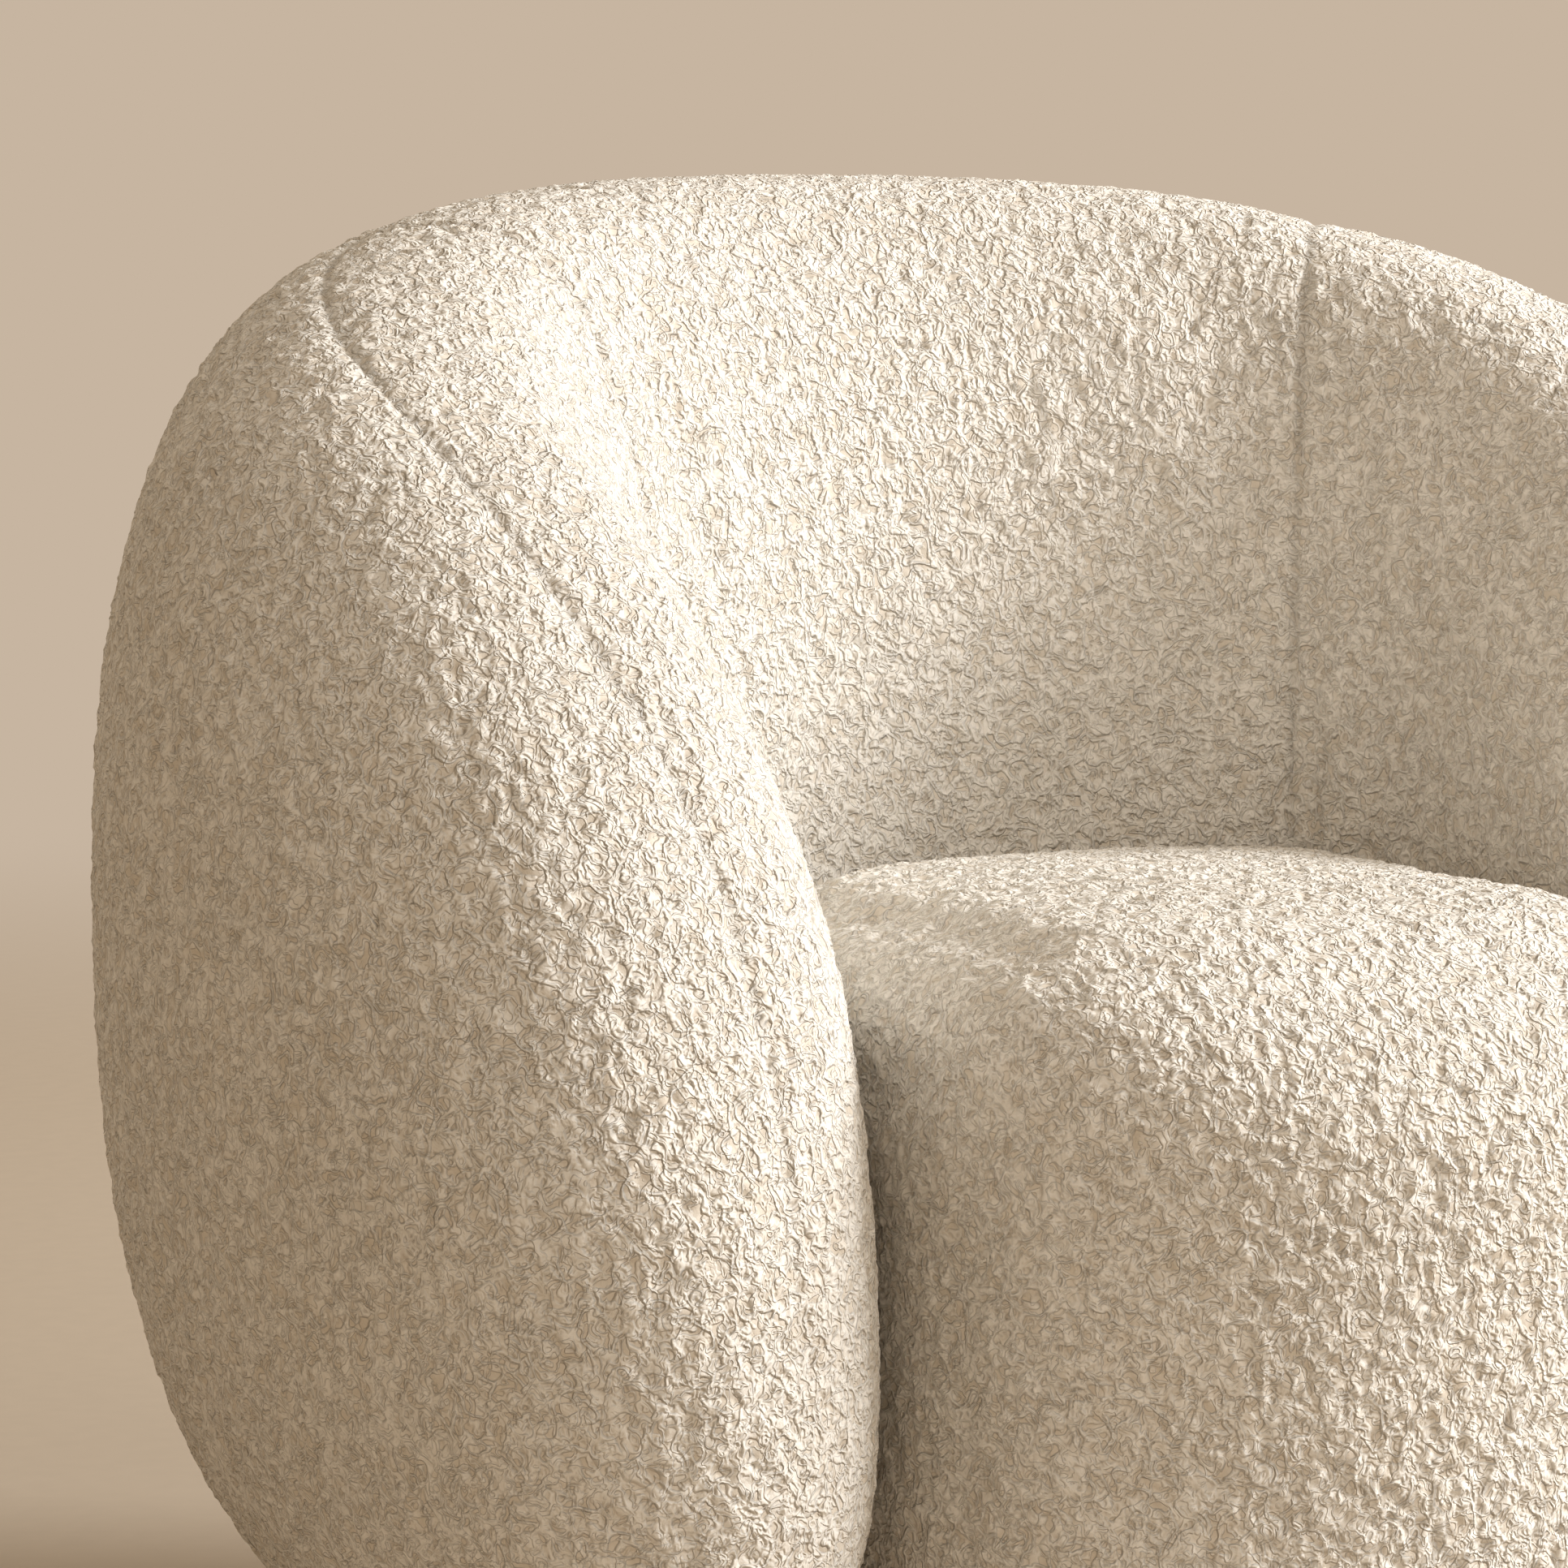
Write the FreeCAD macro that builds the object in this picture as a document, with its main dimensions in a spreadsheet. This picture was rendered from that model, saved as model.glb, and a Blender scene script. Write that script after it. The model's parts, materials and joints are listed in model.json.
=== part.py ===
# Upholstered barrel armchair on a hidden swivel plinth.
# Millimetres. +Z is up, the sitter faces -Y, +X is the right-hand arm seen from the front.
# The origin is on the floor, on the swivel axis, under the middle of the chair.
import FreeCAD, Part
import math
import os
import Sketcher
from FreeCAD import Placement, Rotation, Vector

os.makedirs("parts", exist_ok=True)
doc = FreeCAD.newDocument("armchair")

# ---------------------------------------------------------------- driving dimensions

SIZES = {
    # Centreline of the upholstered wall in plan: half an ellipse at the back and,
    # from its widest point forward, a longer half ellipse that ends at the arm nose.
    "path_half_width": 328,
    "path_back_depth": 240,
    "path_arm_depth": 629,
    "path_centre_y": -31,
    "nose_y": -298,
    # Profile of the wall along the path.
    "back_height": 750,
    "nose_height": 190,
    "crest_fall": 1.227,
    "crest_round": 2.594,
    "underside_drop": 6,
    "underside_fall": 5.256,
    # Cross-section of the wall, measured from the path outward and inward.
    "outer_half": 149,
    "outer_half_nose": 145,
    "inner_half": 116,
    "inner_half_nose": 121,
    "nose_round": 7.062,
    "nose_core": 9,
    "side_power": 0.757,
    "crown_power": 0.749,
    "lean_back": 13,
    "lean_nose": -19,
    "lean_level": 400,
    "lean_height": 350,
    "tuck": 38,
    "tuck_level": 420,
    # Seams: the crest seam's turn round the section, and the panel joint's angle.
    "crest_seam_back": 0.251,
    "crest_seam_fall": 0.325,
    "panel_joint": 0.836,
    # Layers of the wall.
    "cover_thickness": 3,
    "outside_foam": 25,
    "inside_foam": 55,
    "panel_thickness": 3,
    "soft_gap": 0.5,
    "cover_gap": 1,
    "foam_lift": 14,
    "rib_clearance": 1.8,
    # Wooden frame.
    "ply_thickness": 18,
    "board_inset": 15,
    "board_front_y": -95,
    "rib_foot_outer": -24,
    "rib_foot_inner": -50,
    "rib_flank_rise": 70,
    "crest_rail_drop": 98,
    "rail_seat": 0.2,
    "crest_rail_thick": 20,
    "crest_rail_half": 18,
    "webbing_below_seat": 103,
    "webbing_below_crest": 155,
    "webbing_width": 60,
    "webbing_thickness": 1.5,
    # Seat. It stands clear of the wall by the side and back gaps, and its frame is
    # inside its own outline by the frame's insets.
    "seat_side_gap": 14,
    "seat_back_gap": 12,
    "seat_front_depth": 110,
    "seat_front_setback": 46,
    "seat_top": 413,
    "seat_skirt_drop": 2,
    "seat_skirt_setback": 73,
    "seat_edge_round": 42,
    "seat_padding": 158,
    "rail_thick": 20,
    "frame_side_inset": 10,
    "frame_end_share": 0.6566,
    "frame_front_inset": 35,
    "frame_back_inset": 39,
    "side_rail_front_reach": 10,
    "side_rail_back_reach": 19,
    "spring_wire_radius": 1.9,
    "spring_half_bar": 17,
    "spring_row_inset": 10,
    "clip_wall": 1.2,
    "clip_width": 14,
    "hessian_thickness": 1.5,
    "hessian_inset": 8,
    # Plinth and swivel.
    "glide_radius": 16,
    "glide_height": 6,
    "glide_circle": 175,
    "plinth_radius": 210,
    "plinth_thick": 45,
    "plinth_chamfer": 4,
    "plate_size": 240,
    "plate_thick": 4,
    "race_radius": 75,
    "ball_radius": 4,
    "race_clearance": 0.15,
    "plate_gap": 6,
    "cage_thick": 3,
    "cage_half_width": 7,
    "pivot_radius": 6,
    "pivot_flange_radius": 10,
    "pivot_flange_thick": 2,
    "running_clearance": 0.1,
    "bolt_spread": 100,
    "screw_spread": 84,
    "bolt_radius": 3,
    "bolt_head_radius": 6,
    "bolt_head_thick": 2.4,
    "screw_length": 28,
    "pilot_clearance": 0.05,
    "flange_clearance": 1,
    "board_eye_clearance": 2,
    "dust_cover_thick": 1,
    "dust_cover_inset": 21,
    "cut_past": 1,
}

# Sizes that follow from the driving dimensions, as formulas on the same sheet.
FOLLOWING = {
    "board_low": "=glide_height + plinth_thick + 2 * plate_thick + plate_gap + dust_cover_thick",
    "underside_height": "=board_low - underside_drop",
    "seat_skirt_low": "=board_low - seat_skirt_drop",
    "seat_half_width": "=path_half_width - inner_half - seat_side_gap",
    "seat_back_depth": "=path_back_depth - inner_half - seat_back_gap",
    "seat_front_centre_y": "=nose_y + seat_front_setback",
    "seat_skirt_back_y": "=nose_y + seat_skirt_setback",
    "seat_deck": "=seat_top - seat_padding",
    "seat_frame_half_width": "=seat_half_width - frame_side_inset",
    "seat_end_rail_half": "=seat_half_width * frame_end_share",
    "spring_row_half": "=seat_end_rail_half - spring_row_inset",
    "seat_front_rail_y": "=seat_front_centre_y - seat_front_depth + frame_front_inset",
    "seat_back_rail_y": "=path_centre_y + seat_back_depth - frame_back_inset",
    "seat_side_rail_front_y": "=seat_front_centre_y - side_rail_front_reach",
    "seat_side_rail_back_y": "=path_centre_y + side_rail_back_reach",
}

BACK_FOAMS = ("right", "centre", "left")
HANDS = (("right", 1), ("left", -1))
RIB_ANGLES = {"back_rib": 0.45, "side_rib": 1.05, "arm_rib": 1.56}
ARM_POST_ANGLE = 1.83
ARM_POST_RISE = 95
RAIL_STATIONS = 9
GLIDE_COUNT = 5
BALL_COUNT = 12
SPRING_COUNT = 5
SPRING_BARS = 17
WEBBING_COUNT = 4
WALL_SAMPLES = 17
BACK_STATIONS = 7
ARM_STATIONS = 16

sheet = doc.addObject("Spreadsheet::Sheet", "sizes")
for row, (alias, value) in enumerate((SIZES | FOLLOWING).items(), start=1):
    sheet.set("A%d" % row, alias)
    sheet.set("B%d" % row, str(value))
    sheet.setAlias("B%d" % row, alias)
doc.recompute()


def size(alias):
    """One driving dimension, read from the sheet."""
    return float(sheet.get(alias))


# Heights that the layers of the seat and the swivel stack share.
PLINTH_TOP = size("glide_height") + size("plinth_thick")
LOWER_PLATE_TOP = PLINTH_TOP + size("plate_thick")
UPPER_PLATE_LOW = LOWER_PLATE_TOP + size("plate_gap")
UPPER_PLATE_TOP = UPPER_PLATE_LOW + size("plate_thick")
BOARD_TOP = size("board_low") + size("ply_thickness")
WIRE_LEVEL = (size("seat_deck") + size("clip_wall") + size("spring_wire_radius")
              + size("running_clearance"))
HESSIAN_LOW = WIRE_LEVEL + size("spring_wire_radius") + size("clip_wall") + size("soft_gap")
SEAT_FOAM_LOW = HESSIAN_LOW + size("hessian_thickness")
FOAM_INSET = size("cover_thickness") + size("cover_gap")
OUTSIDE_BACKING = FOAM_INSET + size("outside_foam") + size("soft_gap")
INSIDE_BACKING = FOAM_INSET + size("inside_foam") + size("soft_gap")
RIB_OUTER_INSET = OUTSIDE_BACKING + size("panel_thickness") + size("rib_clearance")
RIB_INNER_INSET = INSIDE_BACKING + size("panel_thickness") + size("rib_clearance")

parts = {}


def keep(label, thing):
    """Names a finished sub-part; the label becomes its file name."""
    thing.Label = label
    parts[label] = thing
    return thing


def bind(thing, **expressions):
    """Binds properties of an object to expressions on the sheet."""
    for name, expression in expressions.items():
        thing.setExpression(name, expression)


# ---------------------------------------------------------------- the wall's geometry

def power(value, exponent):
    """Signed power, which keeps a superellipse on its own side."""
    return math.copysign(abs(value) ** exponent, value)


def path_depth(angle):
    """Semi-axis of the path along Y at this path angle, 0 being the middle of the back."""
    return size("path_back_depth") if abs(angle) < math.pi / 2 else size("path_arm_depth")


def nose_angle():
    """Path angle at which the arm's nose ends."""
    reach = (size("path_centre_y") - size("nose_y")) / size("path_arm_depth")
    return math.pi / 2 + math.asin(reach)


def path_point(angle):
    """Point of the path in plan."""
    return Vector(size("path_half_width") * math.sin(angle),
                  size("path_centre_y") + path_depth(angle) * math.cos(angle), 0)


def path_normal(angle):
    """Outward normal of the path in plan."""
    normal = Vector(math.sin(angle) / size("path_half_width"),
                    math.cos(angle) / path_depth(angle), 0)
    return normal.normalize()


def forwardness(angle):
    """0 at the middle of the back, 1 at the arm's nose."""
    back_y = size("path_centre_y") + size("path_back_depth")
    share = (back_y - path_point(angle).y) / (back_y - size("nose_y"))
    return min(max(share, 0.0), 1.0)


def crest_height(angle):
    """Top of the wall, which falls in a round shoulder to the arm's nose."""
    fall = (1 - forwardness(angle) ** size("crest_fall")) ** (1 / size("crest_round"))
    return size("nose_height") + (size("back_height") - size("nose_height")) * fall


def underside(angle):
    """Bottom of the wall, which turns up at the arm's nose."""
    fall = math.sqrt(1 - forwardness(angle) ** size("underside_fall"))
    return size("nose_height") - (size("nose_height") - size("underside_height")) * fall


def closing(angle):
    """Share of the wall's full thickness, which closes to nothing at the nose."""
    return math.sqrt(1 - forwardness(angle) ** size("nose_round"))


def half_thickness(angle, turn):
    """Half thickness of the wall on the side of the path that this turn is on."""
    side = "outer_half" if math.sin(turn) > 0 else "inner_half"
    share = forwardness(angle)
    return closing(angle) * (size(side) * (1 - share) + size(side + "_nose") * share)


def section_shift(angle, height):
    """How far the section leans outward at this height, less the tuck under it."""
    share = forwardness(angle)
    lean = size("lean_back") * (1 - share) + size("lean_nose") * share
    rise = (height - size("lean_level")) / size("lean_height")
    below = min(max((size("tuck_level") - height) / size("lean_height"), 0.0), 1.0)
    return closing(angle) * (lean * rise - size("tuck") * below ** 2)


def wall_place(angle, offset, height):
    """Point at an offset from the path, square to it, and at a height."""
    place = path_point(angle) + path_normal(angle) * offset
    return Vector(place.x, place.y, height)


def wall_point(angle, turn, inset):
    """Point of the wall's surface, or of a layer at an inset below it.

    The turn runs round the section: 0 at the crest, +90 degrees outside, 180 underneath.
    """
    middle = (crest_height(angle) + underside(angle)) / 2
    half_height = (crest_height(angle) - underside(angle)) / 2 - inset
    height = middle + half_height * power(math.cos(turn), size("crown_power"))
    reach = half_thickness(angle, turn) - inset
    offset = reach * power(math.sin(turn), size("side_power"))
    return wall_place(angle, offset + section_shift(angle, height), height)


def turn_at(angle, height, inset):
    """Turn, from 0 to pi, at which a layer reaches this height."""
    middle = (crest_height(angle) + underside(angle)) / 2
    half_height = (crest_height(angle) - underside(angle)) / 2 - inset
    share = min(max((height - middle) / half_height, -1.0), 1.0)
    return math.acos(power(share, 1 / size("crown_power")))


def crest_seam(angle):
    """Turn at which the inner and outer covers are sewn together."""
    return size("crest_seam_back") - size("crest_seam_fall") * forwardness(angle)


def spread(first, last, count):
    """Evenly spaced values from first to last."""
    return [first + (last - first) * step / (count - 1) for step in range(count)]


def last_angle(inset):
    """Path angle near the nose where a layer at this inset is still fairly thick."""
    thinnest = inset + size("nose_core")
    share = thinnest / min(size("outer_half_nose"), size("inner_half_nose"))
    forward = (1 - share ** 2) ** (1 / size("nose_round"))
    back_y = size("path_centre_y") + size("path_back_depth")
    reach_y = back_y - forward * (back_y - size("nose_y"))
    return math.pi / 2 + math.asin((size("path_centre_y") - reach_y) / size("path_arm_depth"))


def curve(points):
    """One smooth edge through points."""
    spline = Part.BSplineCurve()
    spline.interpolate(points)
    return spline.toShape()


def layer_outline(angle, turn_from, turn_to, outer_inset, inner_inset):
    """Closed outline of a layer, in the plane square to the path."""
    turns = spread(turn_from, turn_to, WALL_SAMPLES)
    outer = [wall_point(angle, turn, outer_inset) for turn in turns]
    inner = [wall_point(angle, turn, inner_inset) for turn in reversed(turns)]
    return Part.Wire([
        curve(outer),
        Part.makeLine(outer[-1], inner[0]),
        curve(inner),
        Part.makeLine(inner[-1], outer[0]),
    ])


def layer(angles, turns, outer_inset, inner_inset):
    """Solid of one layer of the wall; turns(angle) gives its two edges at each station."""
    outlines = [layer_outline(angle, *turns(angle), outer_inset, inner_inset) for angle in angles]
    return Part.makeLoft(outlines, True, False)


def shaped(label, shape):
    """Sub-part whose shape is worked out from the wall's formula."""
    thing = doc.addObject("Part::Feature", label)
    thing.Shape = shape
    thing.Placement = Placement()
    return keep(label, thing)


def stations(first, last, count=BACK_STATIONS):
    """Path angles between two joints, each held back by half a gap."""
    step = size("soft_gap") / size("path_half_width") / 2
    return spread(first + step, last - step, count)


# ---------------------------------------------------------------- layers of the wall

def wall_turns(side, lift):
    """Edges of a layer that runs from the crest seam down one side of the wall."""
    def turns(angle):
        gap = side * size("cover_gap") / size("outer_half")
        low = max(BOARD_TOP, underside(angle)) + lift
        return crest_seam(angle) + gap, side * turn_at(angle, low, 0)
    return turns


def arm_span(inset, sign):
    """Path angles of a layer of an arm, closer together towards the nose."""
    first = size("panel_joint") + size("soft_gap") / size("path_half_width")
    reach = last_angle(inset) - first
    shares = spread(0, math.pi / 2, ARM_STATIONS)
    return [sign * (first + reach * math.sin(share)) for share in shares]


def make_outside_layers():
    """Foam, backing panel and cover on the outside of the wall."""
    joint = size("panel_joint")
    layers = (
        ("cover", 0, size("cover_thickness"), size("cover_gap")),
        ("foam", FOAM_INSET, FOAM_INSET + size("outside_foam"), size("foam_lift")),
        ("panel", OUTSIDE_BACKING, OUTSIDE_BACKING + size("panel_thickness"), size("foam_lift")),
    )
    for name, outer, inner, lift in layers:
        turns = wall_turns(1, lift)
        shaped("outside_back_" + name, layer(stations(-joint, joint), turns, outer, inner))
        for hand, sign in HANDS:
            shaped("outside_arm_%s_%s" % (name, hand),
                   layer(arm_span(inner, sign), turns, outer, inner))


def make_inside_layers():
    """Cover, foam and backing on the side that the sitter leans on."""
    joint = size("panel_joint")
    cover = size("cover_thickness")
    cover_turns = wall_turns(-1, size("cover_gap"))
    turns = wall_turns(-1, size("foam_lift"))
    shaped("inside_back_cover", layer(stations(-joint, joint), cover_turns, 0, cover))
    inner = FOAM_INSET + size("inside_foam")
    bounds = spread(joint, -joint, len(BACK_FOAMS) + 1)
    for name, first, last in zip(BACK_FOAMS, bounds, bounds[1:]):
        shaped("inside_back_foam_" + name,
               layer(stations(last, first), turns, FOAM_INSET, inner))
    backing = INSIDE_BACKING + size("panel_thickness")
    for hand, sign in HANDS:
        shaped("inside_arm_cover_" + hand, layer(arm_span(cover, sign), cover_turns, 0, cover))
        shaped("inside_arm_foam_" + hand, layer(arm_span(inner, sign), turns, FOAM_INSET, inner))
        shaped("inside_arm_panel_" + hand,
               layer(arm_span(backing, sign), turns, INSIDE_BACKING, backing))


def make_webbing():
    """Jute bands across the back ribs, under the inside back foam."""
    inner = INSIDE_BACKING + size("webbing_thickness")
    angles = stations(-size("panel_joint"), size("panel_joint"))
    bands = []
    lowest = size("seat_top") - size("webbing_below_seat")
    highest = size("back_height") - size("webbing_below_crest")
    for level in spread(lowest, highest, WEBBING_COUNT):
        def turns(angle, level=level):
            top = level + size("webbing_width") / 2
            low = level - size("webbing_width") / 2
            return -turn_at(angle, top, inner), -turn_at(angle, low, inner)
        bands.append(layer(angles, turns, INSIDE_BACKING, inner))
    shaped("inside_back_webbing", Part.makeCompound(bands))


# ---------------------------------------------------------------- wooden frame

def rail_low(angle):
    """Underside of the bent rail that lies on the ribs."""
    return crest_height(angle) - size("crest_rail_drop")


def rib_outline(angle, foot_height):
    """Outline of one plywood rib: a foot, two curved flanks and a flat top for the rail."""
    flank = foot_height + size("rib_flank_rise")
    top = rail_low(angle) - size("rail_seat")
    outer_turns = spread(turn_at(angle, flank, RIB_OUTER_INSET),
                         turn_at(angle, top, RIB_OUTER_INSET), WALL_SAMPLES)
    inner_turns = spread(-turn_at(angle, top, RIB_INNER_INSET),
                         -turn_at(angle, flank, RIB_INNER_INSET), WALL_SAMPLES)
    outer = [wall_point(angle, turn, RIB_OUTER_INSET) for turn in outer_turns]
    inner = [wall_point(angle, turn, RIB_INNER_INSET) for turn in inner_turns]
    narrowed = closing(angle) ** 2
    outer_foot = wall_place(angle, size("rib_foot_outer") * narrowed, foot_height)
    inner_foot = wall_place(angle, size("rib_foot_inner") * narrowed, foot_height)
    return Part.Wire([
        Part.makeLine(inner_foot, outer_foot),
        Part.makeLine(outer_foot, outer[0]),
        curve(outer),
        Part.makeLine(outer[-1], inner[0]),
        curve(inner),
        Part.makeLine(inner[-1], inner_foot),
    ])


def rib(angle, foot_height):
    """Plywood rib behind its front face, which the wall's narrowing shapes."""
    backward = path_normal(angle).cross(Vector(0, 0, 1)) * -math.copysign(1, angle)
    plate = Part.Face(rib_outline(angle, foot_height))
    return plate.extrude(backward * size("ply_thickness"))


def make_ribs():
    """Nine upright plywood plates that carry the wall."""
    shaped("back_rib_centre", rib(0, BOARD_TOP))
    for name, angle in RIB_ANGLES.items():
        for hand, sign in HANDS:
            shaped("%s_%s" % (name, hand), rib(sign * angle, BOARD_TOP))
    foot = underside(ARM_POST_ANGLE) + ARM_POST_RISE
    for hand, sign in HANDS:
        shaped("arm_post_" + hand, rib(sign * ARM_POST_ANGLE, foot))


def rail_outline(angle):
    """Cross-section of the curved rail that lies on the ribs."""
    low = rail_low(angle)
    high = low + size("crest_rail_thick")
    middle = section_shift(angle, low)
    corners = [(-1, low), (1, low), (1, high), (-1, high)]
    half = size("crest_rail_half") * closing(angle)
    points = [wall_place(angle, middle + side * half, height) for side, height in corners]
    return Part.makePolygon(points + points[:1])


def make_crest_rails():
    """Bent rails on top of the ribs: one round the back, one down each arm."""
    joint = RIB_ANGLES["side_rib"]
    outlines = [rail_outline(angle) for angle in stations(-joint, joint, RAIL_STATIONS)]
    shaped("crest_rail", Part.makeLoft(outlines, True, False))
    for hand, sign in HANDS:
        angles = [sign * angle for angle in stations(joint, ARM_POST_ANGLE, RAIL_STATIONS)]
        outlines = [rail_outline(angle) for angle in angles]
        shaped("arm_rail_" + hand, Part.makeLoft(outlines, True, False))


def box(name, x_low, y_low, z_low, x_long, y_long, z_long):
    """Box whose corner and sides are expressions on the sheet."""
    thing = doc.addObject("Part::Box", name)
    bind(thing, Length=x_long, Width=y_long, Height=z_long)
    thing.setExpression("Placement.Base.x", x_low)
    thing.setExpression("Placement.Base.y", y_low)
    thing.setExpression("Placement.Base.z", z_low)
    return thing


def disc(name, half_width, half_depth, centre_y, z_low, z_long):
    """Elliptical slab whose sizes are expressions on the sheet."""
    ring = doc.addObject("Part::Ellipse", name + "_edge")
    bind(ring, MajorRadius=half_width, MinorRadius=half_depth)
    ring.setExpression("Placement.Base.y", centre_y)
    ring.setExpression("Placement.Base.z", z_low)
    slab = doc.addObject("Part::Extrusion", name)
    slab.Base = ring
    slab.DirMode = "Custom"
    slab.Dir = Vector(0, 0, 1)
    slab.Solid = True
    slab.setExpression("LengthFwd", z_long)
    return slab


def joined(name, pieces):
    """Union of overlapping pieces, with their common faces merged."""
    thing = doc.addObject("Part::MultiFuse", name)
    thing.Shapes = pieces
    thing.Refine = True
    return thing


def cut(name, base, tool):
    """Base less tool."""
    thing = doc.addObject("Part::Cut", name)
    thing.Base = base
    thing.Tool = tool
    return thing


def seat_slab(name, grow, z_low, z_long):
    """Slab with the seat's plan: round at the back, straight sides and a bowed front."""
    half = "sizes.seat_half_width + (%s)" % grow
    back = disc(name + "_back", half, "sizes.seat_back_depth + (%s)" % grow,
                "sizes.path_centre_y", z_low, z_long)
    front = disc(name + "_front", half, "sizes.seat_front_depth + (%s)" % grow,
                 "sizes.seat_front_centre_y", z_low, z_long)
    middle = box(name + "_middle", "-(%s)" % half, "sizes.seat_front_centre_y", z_low,
                 "2 * (%s)" % half, "sizes.path_centre_y - sizes.seat_front_centre_y", z_long)
    return joined(name, [back, middle, front])


def board_outline(name, inset, z_low, z_long):
    """D-shaped slab under the wall, with a tongue under the seat."""
    shrink = "(%s)" % inset
    half = "sizes.path_half_width - " + shrink
    back = disc(name + "_back", half, "sizes.path_back_depth - " + shrink,
                "sizes.path_centre_y", z_low, z_long)
    sides = box(name + "_sides", "-(%s)" % half, "sizes.board_front_y", z_low, "2 * (%s)" % half,
                "sizes.path_centre_y - sizes.board_front_y", z_long)
    tongue = seat_slab(name + "_tongue", "-" + shrink, z_low, z_long)
    return joined(name, [back, sides, tongue])


def cylinder(name, radius, z_low, z_long, x_place="0", y_place="0"):
    """Upright cylinder whose sizes are expressions on the sheet."""
    thing = doc.addObject("Part::Cylinder", name)
    bind(thing, Radius=radius, Height=z_long)
    thing.setExpression("Placement.Base.x", x_place)
    thing.setExpression("Placement.Base.y", y_place)
    thing.setExpression("Placement.Base.z", z_low)
    return thing


CORNERS = ((1, 1), (-1, 1), (-1, -1), (1, -1))


def drilled(name, blank, z_low, z_long):
    """Blank with the pivot's clearance hole and four bolt holes."""
    eye = "sizes.pivot_flange_radius + sizes.board_eye_clearance"
    tools = [cylinder(name + "_eye", eye, z_low, z_long)]
    for number, (side_x, side_y) in enumerate(CORNERS):
        tools.append(cylinder("%s_bolt_hole%d" % (name, number),
                              "sizes.bolt_radius + sizes.running_clearance", z_low, z_long,
                              "%d * sizes.bolt_spread" % side_x, "%d * sizes.bolt_spread" % side_y))
    return cut(name, blank, joined(name + "_holes", tools))


def make_base_board():
    """Plywood board that the whole upholstered body stands on, and the cloth under it."""
    blank = board_outline("base_board_blank", "sizes.board_inset", "sizes.board_low",
                          "sizes.ply_thickness")
    keep("base_board", drilled("base_board_drilled", blank, "sizes.board_low - sizes.cut_past",
                               "sizes.ply_thickness + 2 * sizes.cut_past"))
    low = "sizes.board_low - sizes.dust_cover_thick"
    cloth = board_outline("dust_cover_blank", "sizes.dust_cover_inset", low,
                          "sizes.dust_cover_thick")
    keep("dust_cover", drilled("dust_cover_drilled", cloth, low + " - sizes.cut_past",
                               "sizes.dust_cover_thick + 2 * sizes.cut_past"))


def frame_corners(sign):
    """Outer corners of one half of the seat frame in plan, front to back."""
    front = size("seat_front_rail_y")
    back = size("seat_back_rail_y")
    return [
        Vector(sign * size("seat_end_rail_half"), front, 0),
        Vector(sign * size("seat_frame_half_width"), size("seat_side_rail_front_y"), 0),
        Vector(sign * size("seat_frame_half_width"), size("seat_side_rail_back_y"), 0),
        Vector(sign * size("seat_end_rail_half"), back, 0),
    ]


def make_seat_frame():
    """Upright boards between the base board and the springs."""
    low = "sizes.board_low + sizes.ply_thickness"
    high = "sizes.seat_deck - (%s)" % low
    width = "2 * sizes.seat_end_rail_half"
    keep("seat_front_rail", box("front_rail", "-sizes.seat_end_rail_half",
                                "sizes.seat_front_rail_y", low, width, "sizes.rail_thick", high))
    keep("seat_back_rail", box("back_rail", "-sizes.seat_end_rail_half",
                               "sizes.seat_back_rail_y - sizes.rail_thick", low, width,
                               "sizes.rail_thick", high))
    length = "sizes.seat_side_rail_back_y - sizes.seat_side_rail_front_y"
    edges = {"right": "sizes.seat_frame_half_width - sizes.rail_thick",
             "left": "-sizes.seat_frame_half_width"}
    for hand, edge in edges.items():
        keep("seat_side_rail_" + hand, box("side_rail_" + hand, edge,
                                           "sizes.seat_side_rail_front_y", low,
                                           "sizes.rail_thick", length, high))


def make_corner_boards():
    """Upright boards across the corners of the seat frame, between its rails."""
    thick = size("rail_thick")
    for hand, sign in HANDS:
        front_end, front_side, back_side, back_end = frame_corners(sign)
        inward = Vector(-sign * thick, 0, 0)
        quarters = {
            "front": [front_end, front_side, front_side + inward, front_end + Vector(0, thick, 0)],
            "back": [back_side, back_end, back_end - Vector(0, thick, 0), back_side + inward],
        }
        for place, points in quarters.items():
            block = Part.Face(Part.makePolygon(points + points[:1]))
            block.translate(Vector(0, 0, BOARD_TOP))
            block = block.extrude(Vector(0, 0, size("seat_deck") - BOARD_TOP))
            shaped("seat_corner_board_%s_%s" % (place, hand), block)


# ---------------------------------------------------------------- springs and seat padding

def origin_plane(body, role):
    """Origin plane of a body."""
    return next(item for item in body.Origin.OriginFeatures if item.Role == role)


def new_sketch(body, name, role):
    """Empty sketch on one of the body's own origin planes."""
    sketch = body.newObject("Sketcher::SketchObject", name)
    sketch.AttachmentSupport = [(origin_plane(body, role), "")]
    sketch.MapMode = "FlatFace"
    return sketch


def hold(sketch, geometry, point, x_place=None, y_place=None):
    """Ties a sketch point to expressions, measured from the sketch's origin."""
    for kind, expression in (("DistanceX", x_place), ("DistanceY", y_place)):
        if expression is None:
            continue
        here = sketch.getPoint(geometry, point)
        value = here.x if kind == "DistanceX" else here.y
        index = sketch.addConstraint(Sketcher.Constraint(kind, -1, 1, geometry, point, value))
        sketch.setExpression("Constraints[%d]" % index, expression)


def value_of(expression):
    """Number that an expression on the sheet stands for."""
    return float(sheet.evalExpression(expression))


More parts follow.
